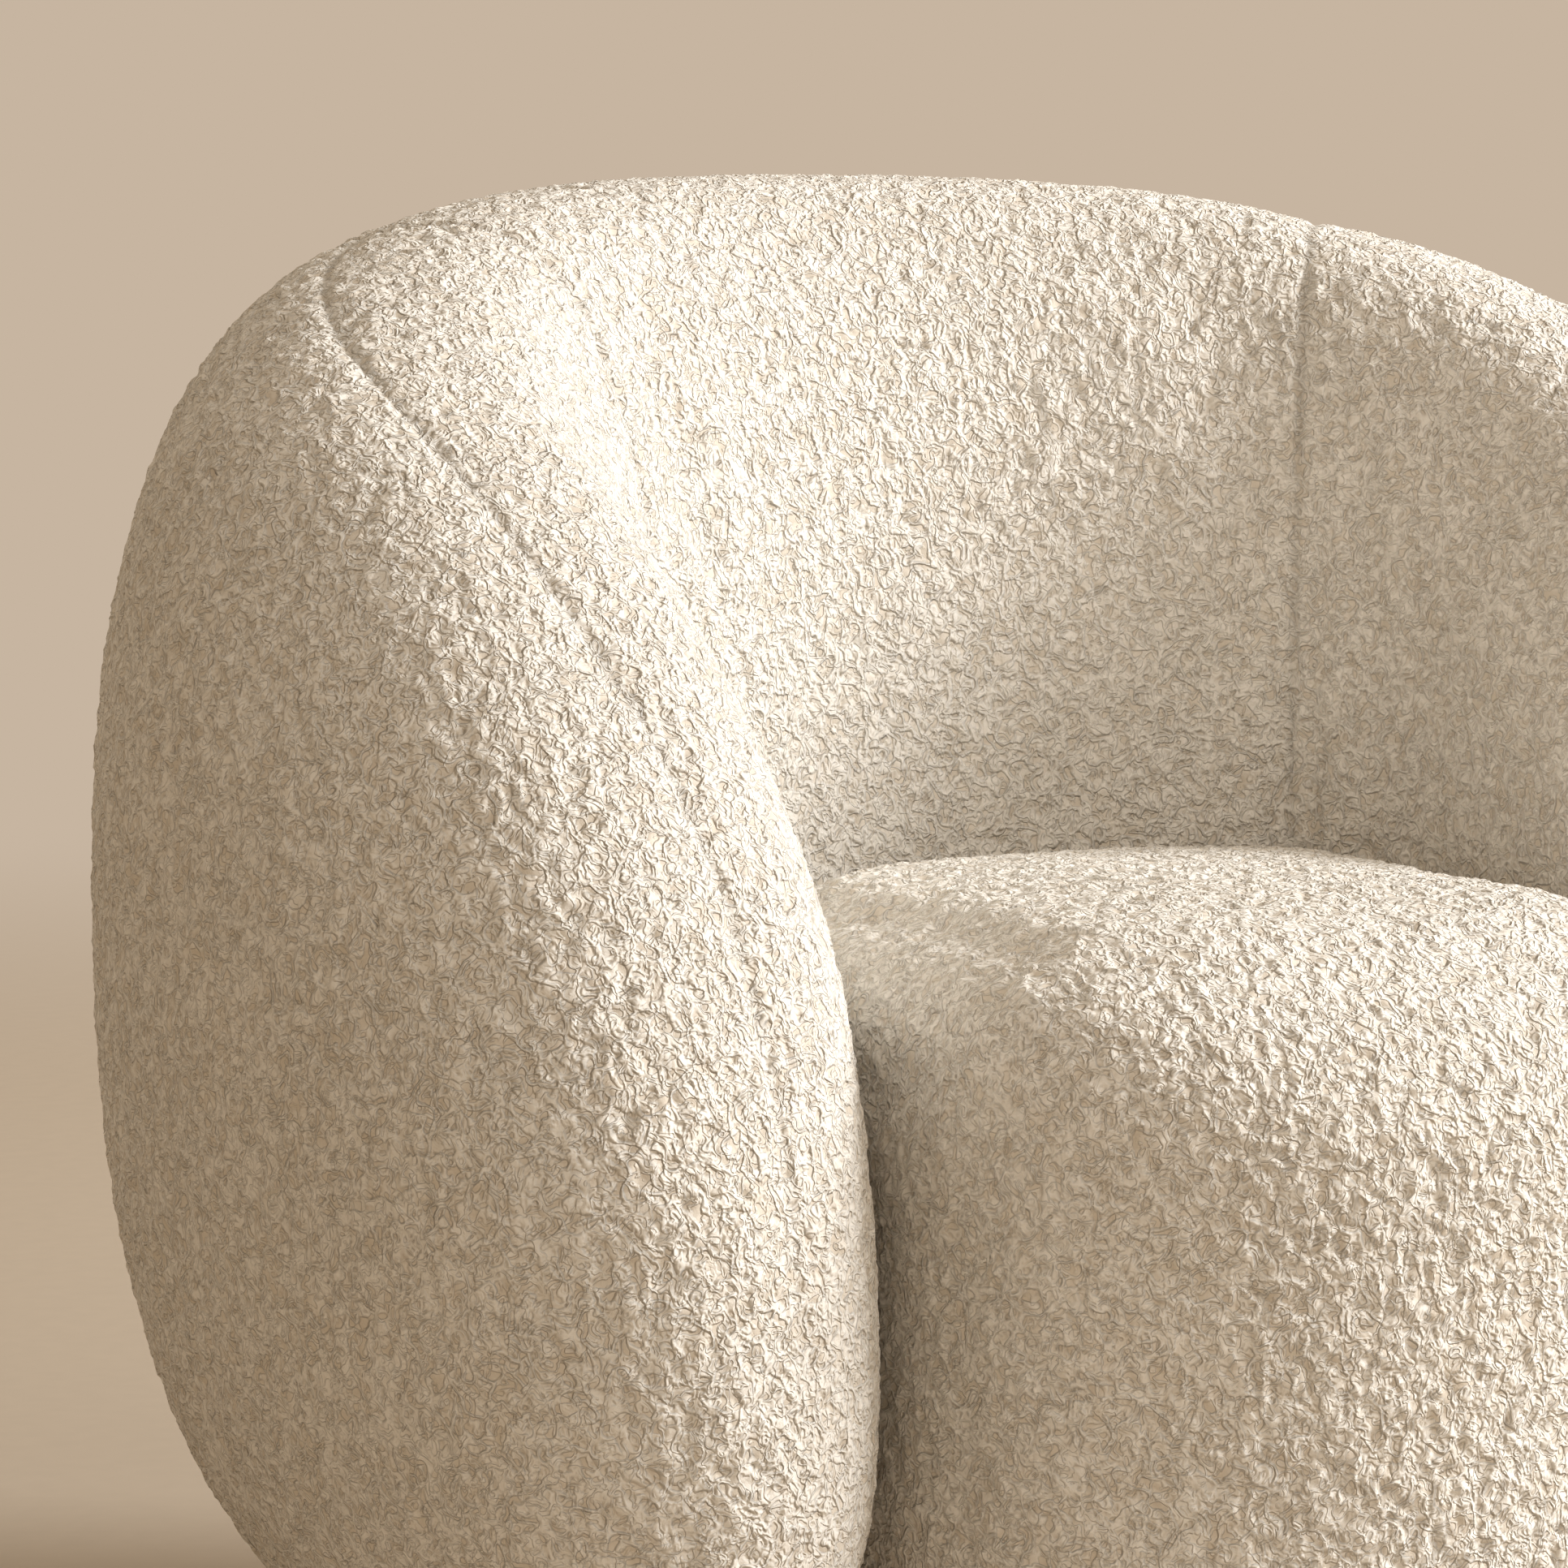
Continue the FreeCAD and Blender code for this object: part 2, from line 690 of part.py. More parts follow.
def outline(sketch, corners):
    """Closed polygon whose corners are tied to pairs of expressions."""
    points = [Vector(value_of(x), value_of(y), 0) for x, y in corners]
    for start, end in zip(points, points[1:] + points[:1]):
        sketch.addGeometry(Part.LineSegment(start, end), False)
    count = len(points)
    for index in range(count):
        sketch.addConstraint(Sketcher.Constraint("Coincident", index, 2, (index + 1) % count, 1))
    for index, (x, y) in enumerate(corners):
        hold(sketch, index, 1, x, y)


def circle(sketch, x_place, y_place, radius):
    """Circle tied to expressions."""
    centre = Vector(value_of(x_place), value_of(y_place), 0)
    shape = Part.Circle(centre, Vector(0, 0, 1), value_of(radius))
    index = sketch.addGeometry(shape, False)
    hold(sketch, index, 3, x_place, y_place)
    number = sketch.addConstraint(Sketcher.Constraint("Radius", index, value_of(radius)))
    sketch.setExpression("Constraints[%d]" % number, radius)


def revolved(body, name, corners):
    """Solid of revolution about Z from a profile of radius and height pairs."""
    profile = new_sketch(body, name + "_profile", "XZ_Plane")
    outline(profile, corners)
    turned = body.newObject("PartDesign::Revolution", name)
    turned.Profile = profile
    turned.ReferenceAxis = (profile, ["V_Axis"])
    turned.Angle = 360
    profile.Visibility = False
    return turned


def ringed(body, feature, count):
    """Repeats a feature round the Z axis."""
    pattern = body.newObject("PartDesign::PolarPattern", feature.Name + "_ring")
    pattern.Originals = [feature]
    pattern.Axis = (origin_axis(body, "Z_Axis"), [""])
    pattern.Angle = 360
    pattern.Occurrences = count
    body.Tip = pattern
    return pattern


def origin_axis(body, role):
    """Origin axis of a body."""
    return next(item for item in body.Origin.OriginFeatures if item.Role == role)


def new_body(label):
    """PartDesign body that may hold a group of separate solids."""
    body = doc.addObject("PartDesign::Body", label)
    body.AllowCompound = True
    return keep(label, body)


def make_springs():
    """Sinuous springs, front rail to back rail."""
    body = new_body("seat_springs")
    front = size("seat_front_rail_y") + size("rail_thick") / 2
    back = size("seat_back_rail_y") - size("rail_thick") / 2
    pitch = (back - front) / (SPRING_BARS - 1)
    half = size("spring_half_bar")
    first_x = -size("spring_row_half")
    path = new_sketch(body, "spring_path", "XY_Plane")
    path.AttachmentOffset = Placement(Vector(0, 0, WIRE_LEVEL), Rotation())
    for bar in range(SPRING_BARS):
        sign = 1 if bar % 2 == 0 else -1
        bar_y = front + pitch * bar
        start = Vector(first_x - sign * half, bar_y, 0)
        end = Vector(first_x + sign * half, bar_y, 0)
        path.addGeometry(Part.LineSegment(start, end), False)
        if bar < SPRING_BARS - 1:
            top = Vector(end.x, bar_y + pitch, 0)
            bulge = Vector(end.x + sign * pitch / 2, bar_y + pitch / 2, 0)
            path.addGeometry(Part.Arc(end, bulge, top), False)
    profile = new_sketch(body, "spring_section", "YZ_Plane")
    profile.AttachmentOffset = Placement(Vector(0, 0, first_x - half), Rotation())
    centre = Vector(front, WIRE_LEVEL, 0)
    ring = Part.Circle(centre, Vector(0, 0, 1), size("spring_wire_radius"))
    profile.addGeometry(ring, False)
    number = profile.addConstraint(Sketcher.Constraint("Radius", 0, size("spring_wire_radius")))
    profile.setExpression("Constraints[%d]" % number, "sizes.spring_wire_radius")
    wire = body.newObject("PartDesign::AdditivePipe", "spring_wire")
    wire.Profile = profile
    wire.Spine = path
    pattern = body.newObject("PartDesign::LinearPattern", "spring_row")
    pattern.Originals = [wire]
    pattern.Direction = (origin_axis(body, "X_Axis"), [""])
    bind(pattern, Length="2 * sizes.spring_row_half")
    pattern.Occurrences = SPRING_COUNT
    body.Tip = pattern


def make_spring_clips():
    """Steel clips that hold the springs' end bars on the front and back rails."""
    clips = []
    reach = size("spring_wire_radius") + size("running_clearance")
    half_row = size("spring_row_half")
    half_rail = size("rail_thick") / 2
    for bar_y in (size("seat_front_rail_y") + half_rail, size("seat_back_rail_y") - half_rail):
        for x_place in spread(-half_row, half_row, SPRING_COUNT):
            start = Vector(x_place - size("clip_width") / 2, bar_y, WIRE_LEVEL)
            along = Vector(1, 0, 0)
            loop = Part.makeCylinder(reach + size("clip_wall"), size("clip_width"), start, along)
            foot_corner = Vector(start.x, bar_y - half_rail, size("seat_deck"))
            foot = Part.makeBox(size("clip_width"), size("rail_thick"), size("clip_wall"),
                                foot_corner)
            bore = Part.makeCylinder(reach, size("clip_width"), start, along)
            clips.append(loop.fuse(foot).cut(bore).removeSplitter())
    shaped("spring_clips", Part.makeCompound(clips))


def top_edges(shape, height):
    """Numbers of the edges that lie at a height."""
    numbers = []
    for number, edge in enumerate(shape.Edges, start=1):
        if all(abs(vertex.Z - height) < 0.01 for vertex in edge.Vertexes):
            if abs(edge.BoundBox.ZMax - edge.BoundBox.ZMin) < 0.01:
                numbers.append(number)
    return numbers


def rounded_top(name, base, radius):
    """Base with its upper rim rounded."""
    doc.recompute()
    rim = top_edges(base.Shape, base.Shape.BoundBox.ZMax)
    thing = doc.addObject("Part::Fillet", name)
    thing.Base = base
    thing.Edges = [(number, radius, radius) for number in rim]
    return thing


def make_seat_padding():
    """Hessian over the springs, the seat's foam and the padding down its front."""
    deck = "%.4f" % HESSIAN_LOW
    keep("seat_hessian", seat_slab("hessian", "-sizes.hessian_inset", deck,
                                   "sizes.hessian_thickness"))
    foam_low = "%.4f" % SEAT_FOAM_LOW
    inset = "-(sizes.cover_thickness + sizes.soft_gap)"
    foam = seat_slab("seat_foam_block", inset, foam_low,
                     "sizes.seat_top - sizes.cover_thickness - sizes.soft_gap - " + foam_low)
    keep("seat_foam", rounded_top("seat_foam_rounded", foam,
                                  size("seat_edge_round") - FOAM_INSET))
    low = "%.4f" % (BOARD_TOP + size("soft_gap"))
    high = "sizes.seat_deck - " + low
    block = seat_slab("front_pad_block", inset, low, high)
    frame = doc.addObject("PartDesign::Body", "front_pad_frame")
    plan = new_sketch(frame, "front_pad_frame_plan", "XY_Plane")
    reach = "(sizes.%s + sizes.soft_gap)"
    end, side = reach % "seat_end_rail_half", reach % "seat_frame_half_width"
    front, shoulder = "sizes.seat_front_rail_y - sizes.soft_gap", "sizes.seat_side_rail_front_y"
    outline(plan, [("-" + end, front), (end, front), (side, shoulder), (side, "0"),
                   ("-" + side, "0"), ("-" + side, shoulder)])
    column = frame.newObject("PartDesign::Pad", "front_pad_frame_column")
    column.Profile = plan
    bind(column, Length="sizes.seat_top")
    behind = skirt_trim("front_pad_trim", "sizes.seat_top")
    keep("seat_front_pad", cut("front_pad", block, joined("front_pad_tools", [frame, behind])))


def skirt_trim(name, z_top):
    """Box that ends the seat's skirt just inside the arms."""
    return box(name, "-2 * sizes.seat_half_width", "sizes.seat_skirt_back_y", "0",
               "4 * sizes.seat_half_width", "4 * sizes.seat_half_width", z_top)


def make_seat_cover():
    """One-piece cover over the seat and down its front."""
    tall = "sizes.seat_top - sizes.seat_skirt_low"
    outer = seat_slab("seat_cover_outer", "0", "sizes.seat_skirt_low", tall)
    outer = rounded_top("seat_cover_outer_rounded", outer, size("seat_edge_round"))
    inner = seat_slab("seat_cover_inner", "-sizes.cover_thickness",
                      "sizes.seat_skirt_low - sizes.cut_past",
                      tall + " + sizes.cut_past - sizes.cover_thickness")
    inner = rounded_top("seat_cover_inner_rounded", inner,
                        size("seat_edge_round") - size("cover_thickness"))
    skin = cut("seat_cover_skin", outer, inner)
    behind = skirt_trim("seat_cover_trim", "%.4f" % SEAT_FOAM_LOW)
    keep("seat_cover", cut("seat_cover_trimmed", skin, behind))


# ---------------------------------------------------------------- plinth and swivel

def make_plinth():
    """Round recessed plinth on glides."""
    body = new_body("plinth")
    low = "sizes.glide_height"
    high = "sizes.glide_height + sizes.plinth_thick"
    eye = "sizes.pivot_flange_radius + sizes.flange_clearance"
    recess = high + " - sizes.pivot_flange_thick - sizes.flange_clearance"
    rim = "sizes.plinth_radius"
    corners = [
        ("0", low), (rim + " - sizes.plinth_chamfer", low),
        (rim, low + " + sizes.plinth_chamfer"), (rim, high + " - sizes.plinth_chamfer"),
        (rim + " - sizes.plinth_chamfer", high), (eye, high), (eye, recess), ("0", recess),
    ]
    revolved(body, "plinth_turned", corners)
    pilots = new_sketch(body, "pilot_holes", "XY_Plane")
    pilots.AttachmentOffset = Placement(Vector(0, 0, PLINTH_TOP), Rotation())
    for side_x, side_y in CORNERS:
        circle(pilots, "%d * sizes.screw_spread" % side_x, "%d * sizes.screw_spread" % side_y,
               "sizes.bolt_radius + sizes.pilot_clearance")
    drill = body.newObject("PartDesign::Pocket", "pilot_drill")
    drill.Profile = pilots
    bind(drill, Length="sizes.screw_length - sizes.plate_thick + sizes.cut_past")


def make_glides():
    """Felt-faced plastic glides under the plinth."""
    body = new_body("floor_glides")
    sketch = new_sketch(body, "glide_edge", "XY_Plane")
    circle(sketch, "0", "sizes.glide_circle", "sizes.glide_radius")
    pad = body.newObject("PartDesign::Pad", "glide")
    pad.Profile = sketch
    bind(pad, Length="sizes.glide_height")
    ringed(body, pad, GLIDE_COUNT)


def swivel_plate(label, z_low, eye, holes_at, race_level):
    """Square steel plate with a ball race, a pivot hole and four corner holes."""
    body = new_body(label)
    sketch = new_sketch(body, label + "_edge", "XY_Plane")
    sketch.AttachmentOffset = Placement(Vector(0, 0, z_low), Rotation())
    half = "sizes.plate_size / 2"
    outline(sketch, [("-" + half, "-" + half), (half, "-" + half), (half, half),
                     ("-" + half, half)])
    circle(sketch, "0", "0", eye)
    for side_x, side_y in CORNERS:
        circle(sketch, "%d * sizes.%s" % (side_x, holes_at),
               "%d * sizes.%s" % (side_y, holes_at),
               "sizes.bolt_radius + sizes.running_clearance")
    pad = body.newObject("PartDesign::Pad", label + "_pad")
    pad.Profile = sketch
    bind(pad, Length="sizes.plate_thick")
    race = new_sketch(body, label + "_race_section", "XZ_Plane")
    circle(race, "sizes.race_radius", race_level, "sizes.ball_radius + sizes.race_clearance")
    groove = body.newObject("PartDesign::Groove", label + "_race")
    groove.Profile = race
    groove.ReferenceAxis = (race, ["V_Axis"])
    groove.Angle = 360
    body.Tip = groove


def make_swivel():
    """Two plates with balls between them, turning on a riveted pin."""
    race_level = ("sizes.glide_height + sizes.plinth_thick + sizes.plate_thick"
                  " + sizes.plate_gap / 2")
    eye = "sizes.pivot_radius + sizes.running_clearance"
    swivel_plate("swivel_lower_plate", PLINTH_TOP, eye, "screw_spread", race_level)
    swivel_plate("swivel_upper_plate", UPPER_PLATE_LOW, eye, "bolt_spread", race_level)
    make_balls(race_level)
    make_cage(race_level)
    make_pivot()


def race_places():
    """Expressions for the centres of the balls, round the race."""
    for number in range(BALL_COUNT):
        turn = "%.6f deg" % (360.0 * number / BALL_COUNT)
        yield number, "sizes.race_radius * cos(%s)" % turn, "sizes.race_radius * sin(%s)" % turn


def make_balls(race_level):
    """Bearing balls in the race."""
    balls = []
    for number, place_x, place_y in race_places():
        ball = doc.addObject("Part::Sphere", "ball%d" % number)
        bind(ball, Radius="sizes.ball_radius")
        ball.setExpression("Placement.Base.x", place_x)
        ball.setExpression("Placement.Base.y", place_y)
        ball.setExpression("Placement.Base.z", race_level)
        balls.append(ball)
    group("bearing_balls", balls)


def make_cage(race_level):
    """Flat nylon ring that spaces the balls."""
    inner = cylinder("cage_eye", "sizes.race_radius - sizes.cage_half_width",
                     "(%s) - sizes.cage_thick" % race_level, "2 * sizes.cage_thick")
    outer = cylinder("cage_rim", "sizes.race_radius + sizes.cage_half_width",
                     "(%s) - sizes.cage_thick / 2" % race_level, "sizes.cage_thick")
    pockets = []
    for number, place_x, place_y in race_places():
        pockets.append(cylinder("cage_pocket%d" % number,
                                "sizes.ball_radius + 2 * sizes.race_clearance",
                                "(%s) - sizes.cage_thick" % race_level, "2 * sizes.cage_thick",
                                place_x, place_y))
    keep("ball_cage", cut("cage", outer, joined("cage_holes", [inner] + pockets)))


def make_pivot():
    """Riveted pin with a flange under the lower plate and one over the upper plate."""
    body = new_body("pivot_pin")
    stack = "(sizes.glide_height + sizes.plinth_thick)"
    top = "(%s + 2 * sizes.plate_thick + sizes.plate_gap)" % stack
    flange = "sizes.pivot_flange_radius"
    low = "%s - sizes.pivot_flange_thick" % stack
    shoulder = "%s + sizes.running_clearance" % top
    high = "%s + sizes.pivot_flange_thick" % shoulder
    revolved(body, "pivot_turned", [
        ("0", low), (flange, low), (flange, stack), ("sizes.pivot_radius", stack),
        ("sizes.pivot_radius", shoulder), (flange, shoulder), (flange, high), ("0", high),
    ])


def fastener(name, spread_name, side_x, side_y, head_low, shank_low, shank_long):
    """Round-headed screw or bolt at one corner of a swivel plate."""
    place_x = "%d * sizes.%s" % (side_x, spread_name)
    place_y = "%d * sizes.%s" % (side_y, spread_name)
    head = cylinder(name + "_head", "sizes.bolt_head_radius", head_low, "sizes.bolt_head_thick",
                    place_x, place_y)
    shank = cylinder(name + "_shank", "sizes.bolt_radius", shank_low, shank_long,
                     place_x, place_y)
    return joined(name, [head, shank])


def make_fasteners():
    """Screws down into the plinth, and bolts up through the base board."""
    plate_top = "(sizes.glide_height + sizes.plinth_thick + sizes.plate_thick)"
    plate_low = "(%s + sizes.plate_gap)" % plate_top
    screws = []
    bolts = []
    for number, (side_x, side_y) in enumerate(CORNERS):
        screws.append(fastener("plinth_screw%d" % number, "screw_spread", side_x, side_y,
                               plate_top, plate_top + " - sizes.screw_length",
                               "sizes.screw_length + sizes.bolt_head_thick / 2"))
        bolts.append(fastener("body_bolt%d" % number, "bolt_spread", side_x, side_y,
                              plate_low + " - sizes.bolt_head_thick",
                              plate_low + " - sizes.bolt_head_thick / 2",
                              "sizes.board_low + sizes.ply_thickness - %s"
                              " + sizes.bolt_head_thick / 2" % plate_low))
    group("swivel_lower_screws", screws)
    group("swivel_upper_bolts", bolts)


def group(label, pieces):
    """Separate solids that share one node."""
    thing = doc.addObject("Part::Compound", label)
    thing.Links = pieces
    return keep(label, thing)


# ---------------------------------------------------------------- build, check and write

make_glides()
make_plinth()
make_swivel()
make_fasteners()
make_base_board()
make_ribs()
make_crest_rails()
make_seat_frame()
make_corner_boards()
make_springs()
make_spring_clips()
make_seat_padding()
make_seat_cover()
make_outside_layers()
make_inside_layers()
make_webbing()
doc.recompute()

faults = [thing.Name for thing in doc.Objects
          if "Invalid" in thing.State or "Error" in thing.State]
faults += [label for label, thing in parts.items()
           if thing.Shape.isNull() or not thing.Shape.isValid() or thing.Shape.Volume <= 0]
if faults:
    raise RuntimeError("these objects did not build: " + ", ".join(faults))

for label, thing in parts.items():
    thing.Shape.exportStep("parts/%s.step" % label)
    print("%-26s %3d solid(s) %12.1f mm3" % (label, len(thing.Shape.Solids), thing.Shape.Volume))
print(len(parts), "nodes")
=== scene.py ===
"""Looks of the barrel armchair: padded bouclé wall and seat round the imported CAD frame. Metres."""
import json
import math

import bmesh
import bpy
import numpy as np
from mathutils import Matrix, Vector, noise
from mathutils.kdtree import KDTree


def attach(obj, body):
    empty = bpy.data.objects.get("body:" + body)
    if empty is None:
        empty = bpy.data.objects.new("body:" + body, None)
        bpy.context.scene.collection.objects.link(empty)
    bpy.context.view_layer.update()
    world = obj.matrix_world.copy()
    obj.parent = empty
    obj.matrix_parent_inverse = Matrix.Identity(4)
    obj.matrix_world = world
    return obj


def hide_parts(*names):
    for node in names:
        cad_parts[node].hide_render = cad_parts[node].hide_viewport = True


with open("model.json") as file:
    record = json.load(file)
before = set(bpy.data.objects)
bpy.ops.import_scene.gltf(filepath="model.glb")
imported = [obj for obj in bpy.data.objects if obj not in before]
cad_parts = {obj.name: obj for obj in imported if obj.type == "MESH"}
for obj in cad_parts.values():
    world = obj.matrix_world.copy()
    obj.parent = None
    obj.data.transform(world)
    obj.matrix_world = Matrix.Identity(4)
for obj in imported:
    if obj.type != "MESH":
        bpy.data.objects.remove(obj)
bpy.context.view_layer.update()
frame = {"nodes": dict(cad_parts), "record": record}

scene = bpy.context.scene

# ------------------------------------------------------------------ the wall's shape

PATH_HALF_WIDTH = 0.328
PATH_BACK_DEPTH = 0.240
PATH_ARM_DEPTH = 0.629
PATH_CENTRE_Y = -0.031
NOSE_Y = -0.298
BACK_HEIGHT = 0.750
NOSE_HEIGHT = 0.190
UNDERSIDE_HEIGHT = 0.060
CREST_FALL = 1.227
CREST_ROUND = 2.594
UNDERSIDE_FALL = 5.256
OUTER_HALF = (0.149, 0.145)
INNER_HALF = (0.116, 0.121)
NOSE_ROUND = 7.062
SIDE_POWER = 0.757
CROWN_POWER = 0.749
LEAN = (0.013, -0.019)
LEAN_LEVEL = 0.400
LEAN_HEIGHT = 0.350
TUCK = 0.038
TUCK_LEVEL = 0.420
CREST_SEAM_BACK = 0.251
CREST_SEAM_FALL = 0.325
PANEL_JOINT = 0.836
BACK_Y = PATH_CENTRE_Y + PATH_BACK_DEPTH
NOSE_ANGLE = math.pi / 2 + math.asin((PATH_CENTRE_Y - NOSE_Y) / PATH_ARM_DEPTH)

# The seat's plan and heights.
SEAT_HALF_WIDTH = 0.198
SEAT_BACK_DEPTH = 0.112
SEAT_FRONT_DEPTH = 0.110
SEAT_FRONT_CENTRE_Y = -0.252
SEAT_TOP = 0.413
SEAT_LOW = 0.068
SEAT_EDGE_ROUND = 0.046
SEAT_FRONT_ROLL = 0.040
SEAT_CROWN = 0.010

WALL_INSET = 0.004
WALL_VOXEL = 0.010
WALL_CAP = 0.006
SEAT_INSET = 0.004
SEAT_VOXEL = 0.006
SEAT_CAP = 0.010
SIM_FRAMES = 20
PRESSURE = 4.0


def signed_power(value, exponent):
    """Power that keeps the sign, for superellipses."""
    return np.copysign(np.abs(value) ** exponent, value)


def path_place(angle):
    """Plan point and outward normal of the wall's centreline, for arrays of angles."""
    depth = np.where(np.abs(angle) < math.pi / 2, PATH_BACK_DEPTH, PATH_ARM_DEPTH)
    place = np.stack([PATH_HALF_WIDTH * np.sin(angle),
                      PATH_CENTRE_Y + depth * np.cos(angle)], -1)
    normal = np.stack([np.sin(angle) / PATH_HALF_WIDTH, np.cos(angle) / depth], -1)
    return place, normal / np.linalg.norm(normal, axis=-1, keepdims=True)


def wall_points(angle, turn, inset):
    """Points of the wall at arrays of path angles and turns round the section."""
    place, normal = path_place(angle)
    share = np.clip((BACK_Y - place[..., 1]) / (BACK_Y - NOSE_Y), 0, 1)
    crest = NOSE_HEIGHT + (BACK_HEIGHT - NOSE_HEIGHT) * (1 - share ** CREST_FALL) ** (1 / CREST_ROUND)
    low = NOSE_HEIGHT - (NOSE_HEIGHT - UNDERSIDE_HEIGHT) * np.sqrt(1 - share ** UNDERSIDE_FALL)
    closing = np.sqrt(1 - share ** NOSE_ROUND)
    outer = OUTER_HALF[0] * (1 - share) + OUTER_HALF[1] * share
    inner = INNER_HALF[0] * (1 - share) + INNER_HALF[1] * share
    half = closing * np.where(np.sin(turn) > 0, outer, inner)
    half_height = np.maximum((crest - low) / 2 - inset, 0)
    height = (crest + low) / 2 + half_height * signed_power(np.cos(turn), CROWN_POWER)
    offset = np.maximum(half - inset, 0) * signed_power(np.sin(turn), SIDE_POWER)
    lean = LEAN[0] * (1 - share) + LEAN[1] * share
    below = np.clip((TUCK_LEVEL - height) / LEAN_HEIGHT, 0, 1)
    offset = offset + closing * (lean * (height - LEAN_LEVEL) / LEAN_HEIGHT - TUCK * below ** 2)
    plan = place + normal * offset[..., None]
    return np.concatenate([plan, height[..., None]], -1)


def crest_seam_turn(angle):
    """Turn of the seam between the inner and outer covers."""
    place, _ = path_place(angle)
    share = np.clip((BACK_Y - place[..., 1]) / (BACK_Y - NOSE_Y), 0, 1)
    return CREST_SEAM_BACK - CREST_SEAM_FALL * share


# ------------------------------------------------------------------ mesh helpers

def mesh_object(name, points, faces):
    """Object from points and faces, with doubled points merged and normals outward."""
    mesh = bpy.data.meshes.new(name)
    mesh.from_pydata([tuple(point) for point in points], [], faces)
    work = bmesh.new()
    work.from_mesh(mesh)
    bmesh.ops.remove_doubles(work, verts=work.verts, dist=1e-5)
    bmesh.ops.recalc_face_normals(work, faces=work.faces)
    work.to_mesh(mesh)
    work.free()
    thing = bpy.data.objects.new(name, mesh)
    scene.collection.objects.link(thing)
    return thing


def grid_faces(rows, columns, wrap):
    """Quads over a grid of points; wrap joins the last column to the first."""
    faces = []
    for row in range(rows - 1):
        for column in range(columns if wrap else columns - 1):
            after = (column + 1) % columns
            faces.append((row * columns + column, row * columns + after,
                          (row + 1) * columns + after, (row + 1) * columns + column))
    return faces


def coordinates(thing):
    """Vertex coordinates of an object's own mesh."""
    flat = np.empty(len(thing.data.vertices) * 3, np.float32)
    thing.data.vertices.foreach_get("co", flat)
    return flat.reshape(-1, 3).astype(float)


def set_coordinates(thing, points):
    """Writes vertex coordinates back."""
    thing.data.vertices.foreach_set("co", points.astype(np.float32).ravel())
    thing.data.update()


def vertex_normals(thing):
    """Vertex normals as an array."""
    flat = np.empty(len(thing.data.vertices) * 3, np.float32)
    thing.data.vertices.foreach_get("normal", flat)
    return flat.reshape(-1, 3).astype(float)


def bake_modifiers(thing):
    """Applies every modifier of an object to its mesh."""
    graph = bpy.context.evaluated_depsgraph_get()
    mesh = bpy.data.meshes.new_from_object(thing.evaluated_get(graph))
    thing.modifiers.clear()
    thing.data = mesh
    mesh.name = thing.name


def remesh(thing, voxel):
    """Even quads all over, by voxel remesh."""
    step = thing.modifiers.new("even", "REMESH")
    step.mode = "VOXEL"
    step.voxel_size = voxel
    bake_modifiers(thing)


def relax(thing, rounds, factor=0.5):
    """Smooths the voxel steps away."""
    step = thing.modifiers.new("relax", "SMOOTH")
    step.factor = factor
    step.iterations = rounds
    bake_modifiers(thing)


def subdivide(thing):
    """Subdivision to a mesh fine enough for the curls."""
    step = thing.modifiers.new("finer", "SUBSURF")
    step.levels = 2
    bake_modifiers(thing)


def puff(thing, pinned, cap):
    """Inflates a pad by cloth simulation, pinned along its seams; cap is each point's limit."""
    rest = coordinates(thing)
    outward = vertex_normals(thing)
    group = thing.vertex_groups.new(name="sewn")
    group.add([int(index) for index in np.flatnonzero(pinned)], 1.0, "REPLACE")
    cloth = thing.modifiers.new("cloth", "CLOTH")
    cloth.settings.vertex_group_mass = "sewn"
    cloth.settings.use_pressure = True
    cloth.settings.uniform_pressure_force = PRESSURE
    cloth.settings.effector_weights.gravity = 0
    cloth.settings.mass = CLOTH_MASS
    cloth.point_cache.frame_start = 1
    cloth.point_cache.frame_end = SIM_FRAMES
    for number in range(1, SIM_FRAMES + 1):
        scene.frame_set(number)
    graph = bpy.context.evaluated_depsgraph_get()
    swollen = thing.evaluated_get(graph).to_mesh()
    flat = np.empty(len(swollen.vertices) * 3, np.float32)
    swollen.vertices.foreach_get("co", flat)
    moved = flat.reshape(-1, 3).astype(float) - rest
    thing.modifiers.clear()
    thing.vertex_groups.clear()
    scene.frame_set(1)
    swell = (moved * outward).sum(1)
    print("puff %s: mean %.4f max %.4f" % (thing.name, swell.mean(), swell.max()))
    set_coordinates(thing, rest + outward * np.clip(swell, 0, cap)[:, None])


CLOTH_MASS = 0.003


# ------------------------------------------------------------------ seams

def seam_lines():
    """Points along the sewn seams of the wall, on its surface."""
    lines = []
    along = np.linspace(-NOSE_ANGLE + 0.004, NOSE_ANGLE - 0.004, 1600)
    lines.append(wall_points(along, crest_seam_turn(along), WALL_INSET))
    for side in (-1, 1):
        for joint in (-PANEL_JOINT, PANEL_JOINT):
            seam = crest_seam_turn(np.array([joint]))[0]
            turns = np.linspace(seam, side * math.pi * 0.98, 500)
            lines.append(wall_points(np.full(500, joint), turns, WALL_INSET))
    return np.concatenate(lines)


def distances(points, line):
    """Distance from each point to the nearest point of a line."""
    tree = KDTree(len(line))
    for index, place in enumerate(line):
        tree.insert(place, index)
    tree.balance()
    return np.array([tree.find(point)[2] for point in points])


GROOVE_DEPTH = 0.0020
GROOVE_WIDTH = 0.0026
VALLEY_DEPTH = 0.0010
VALLEY_WIDTH = 0.014


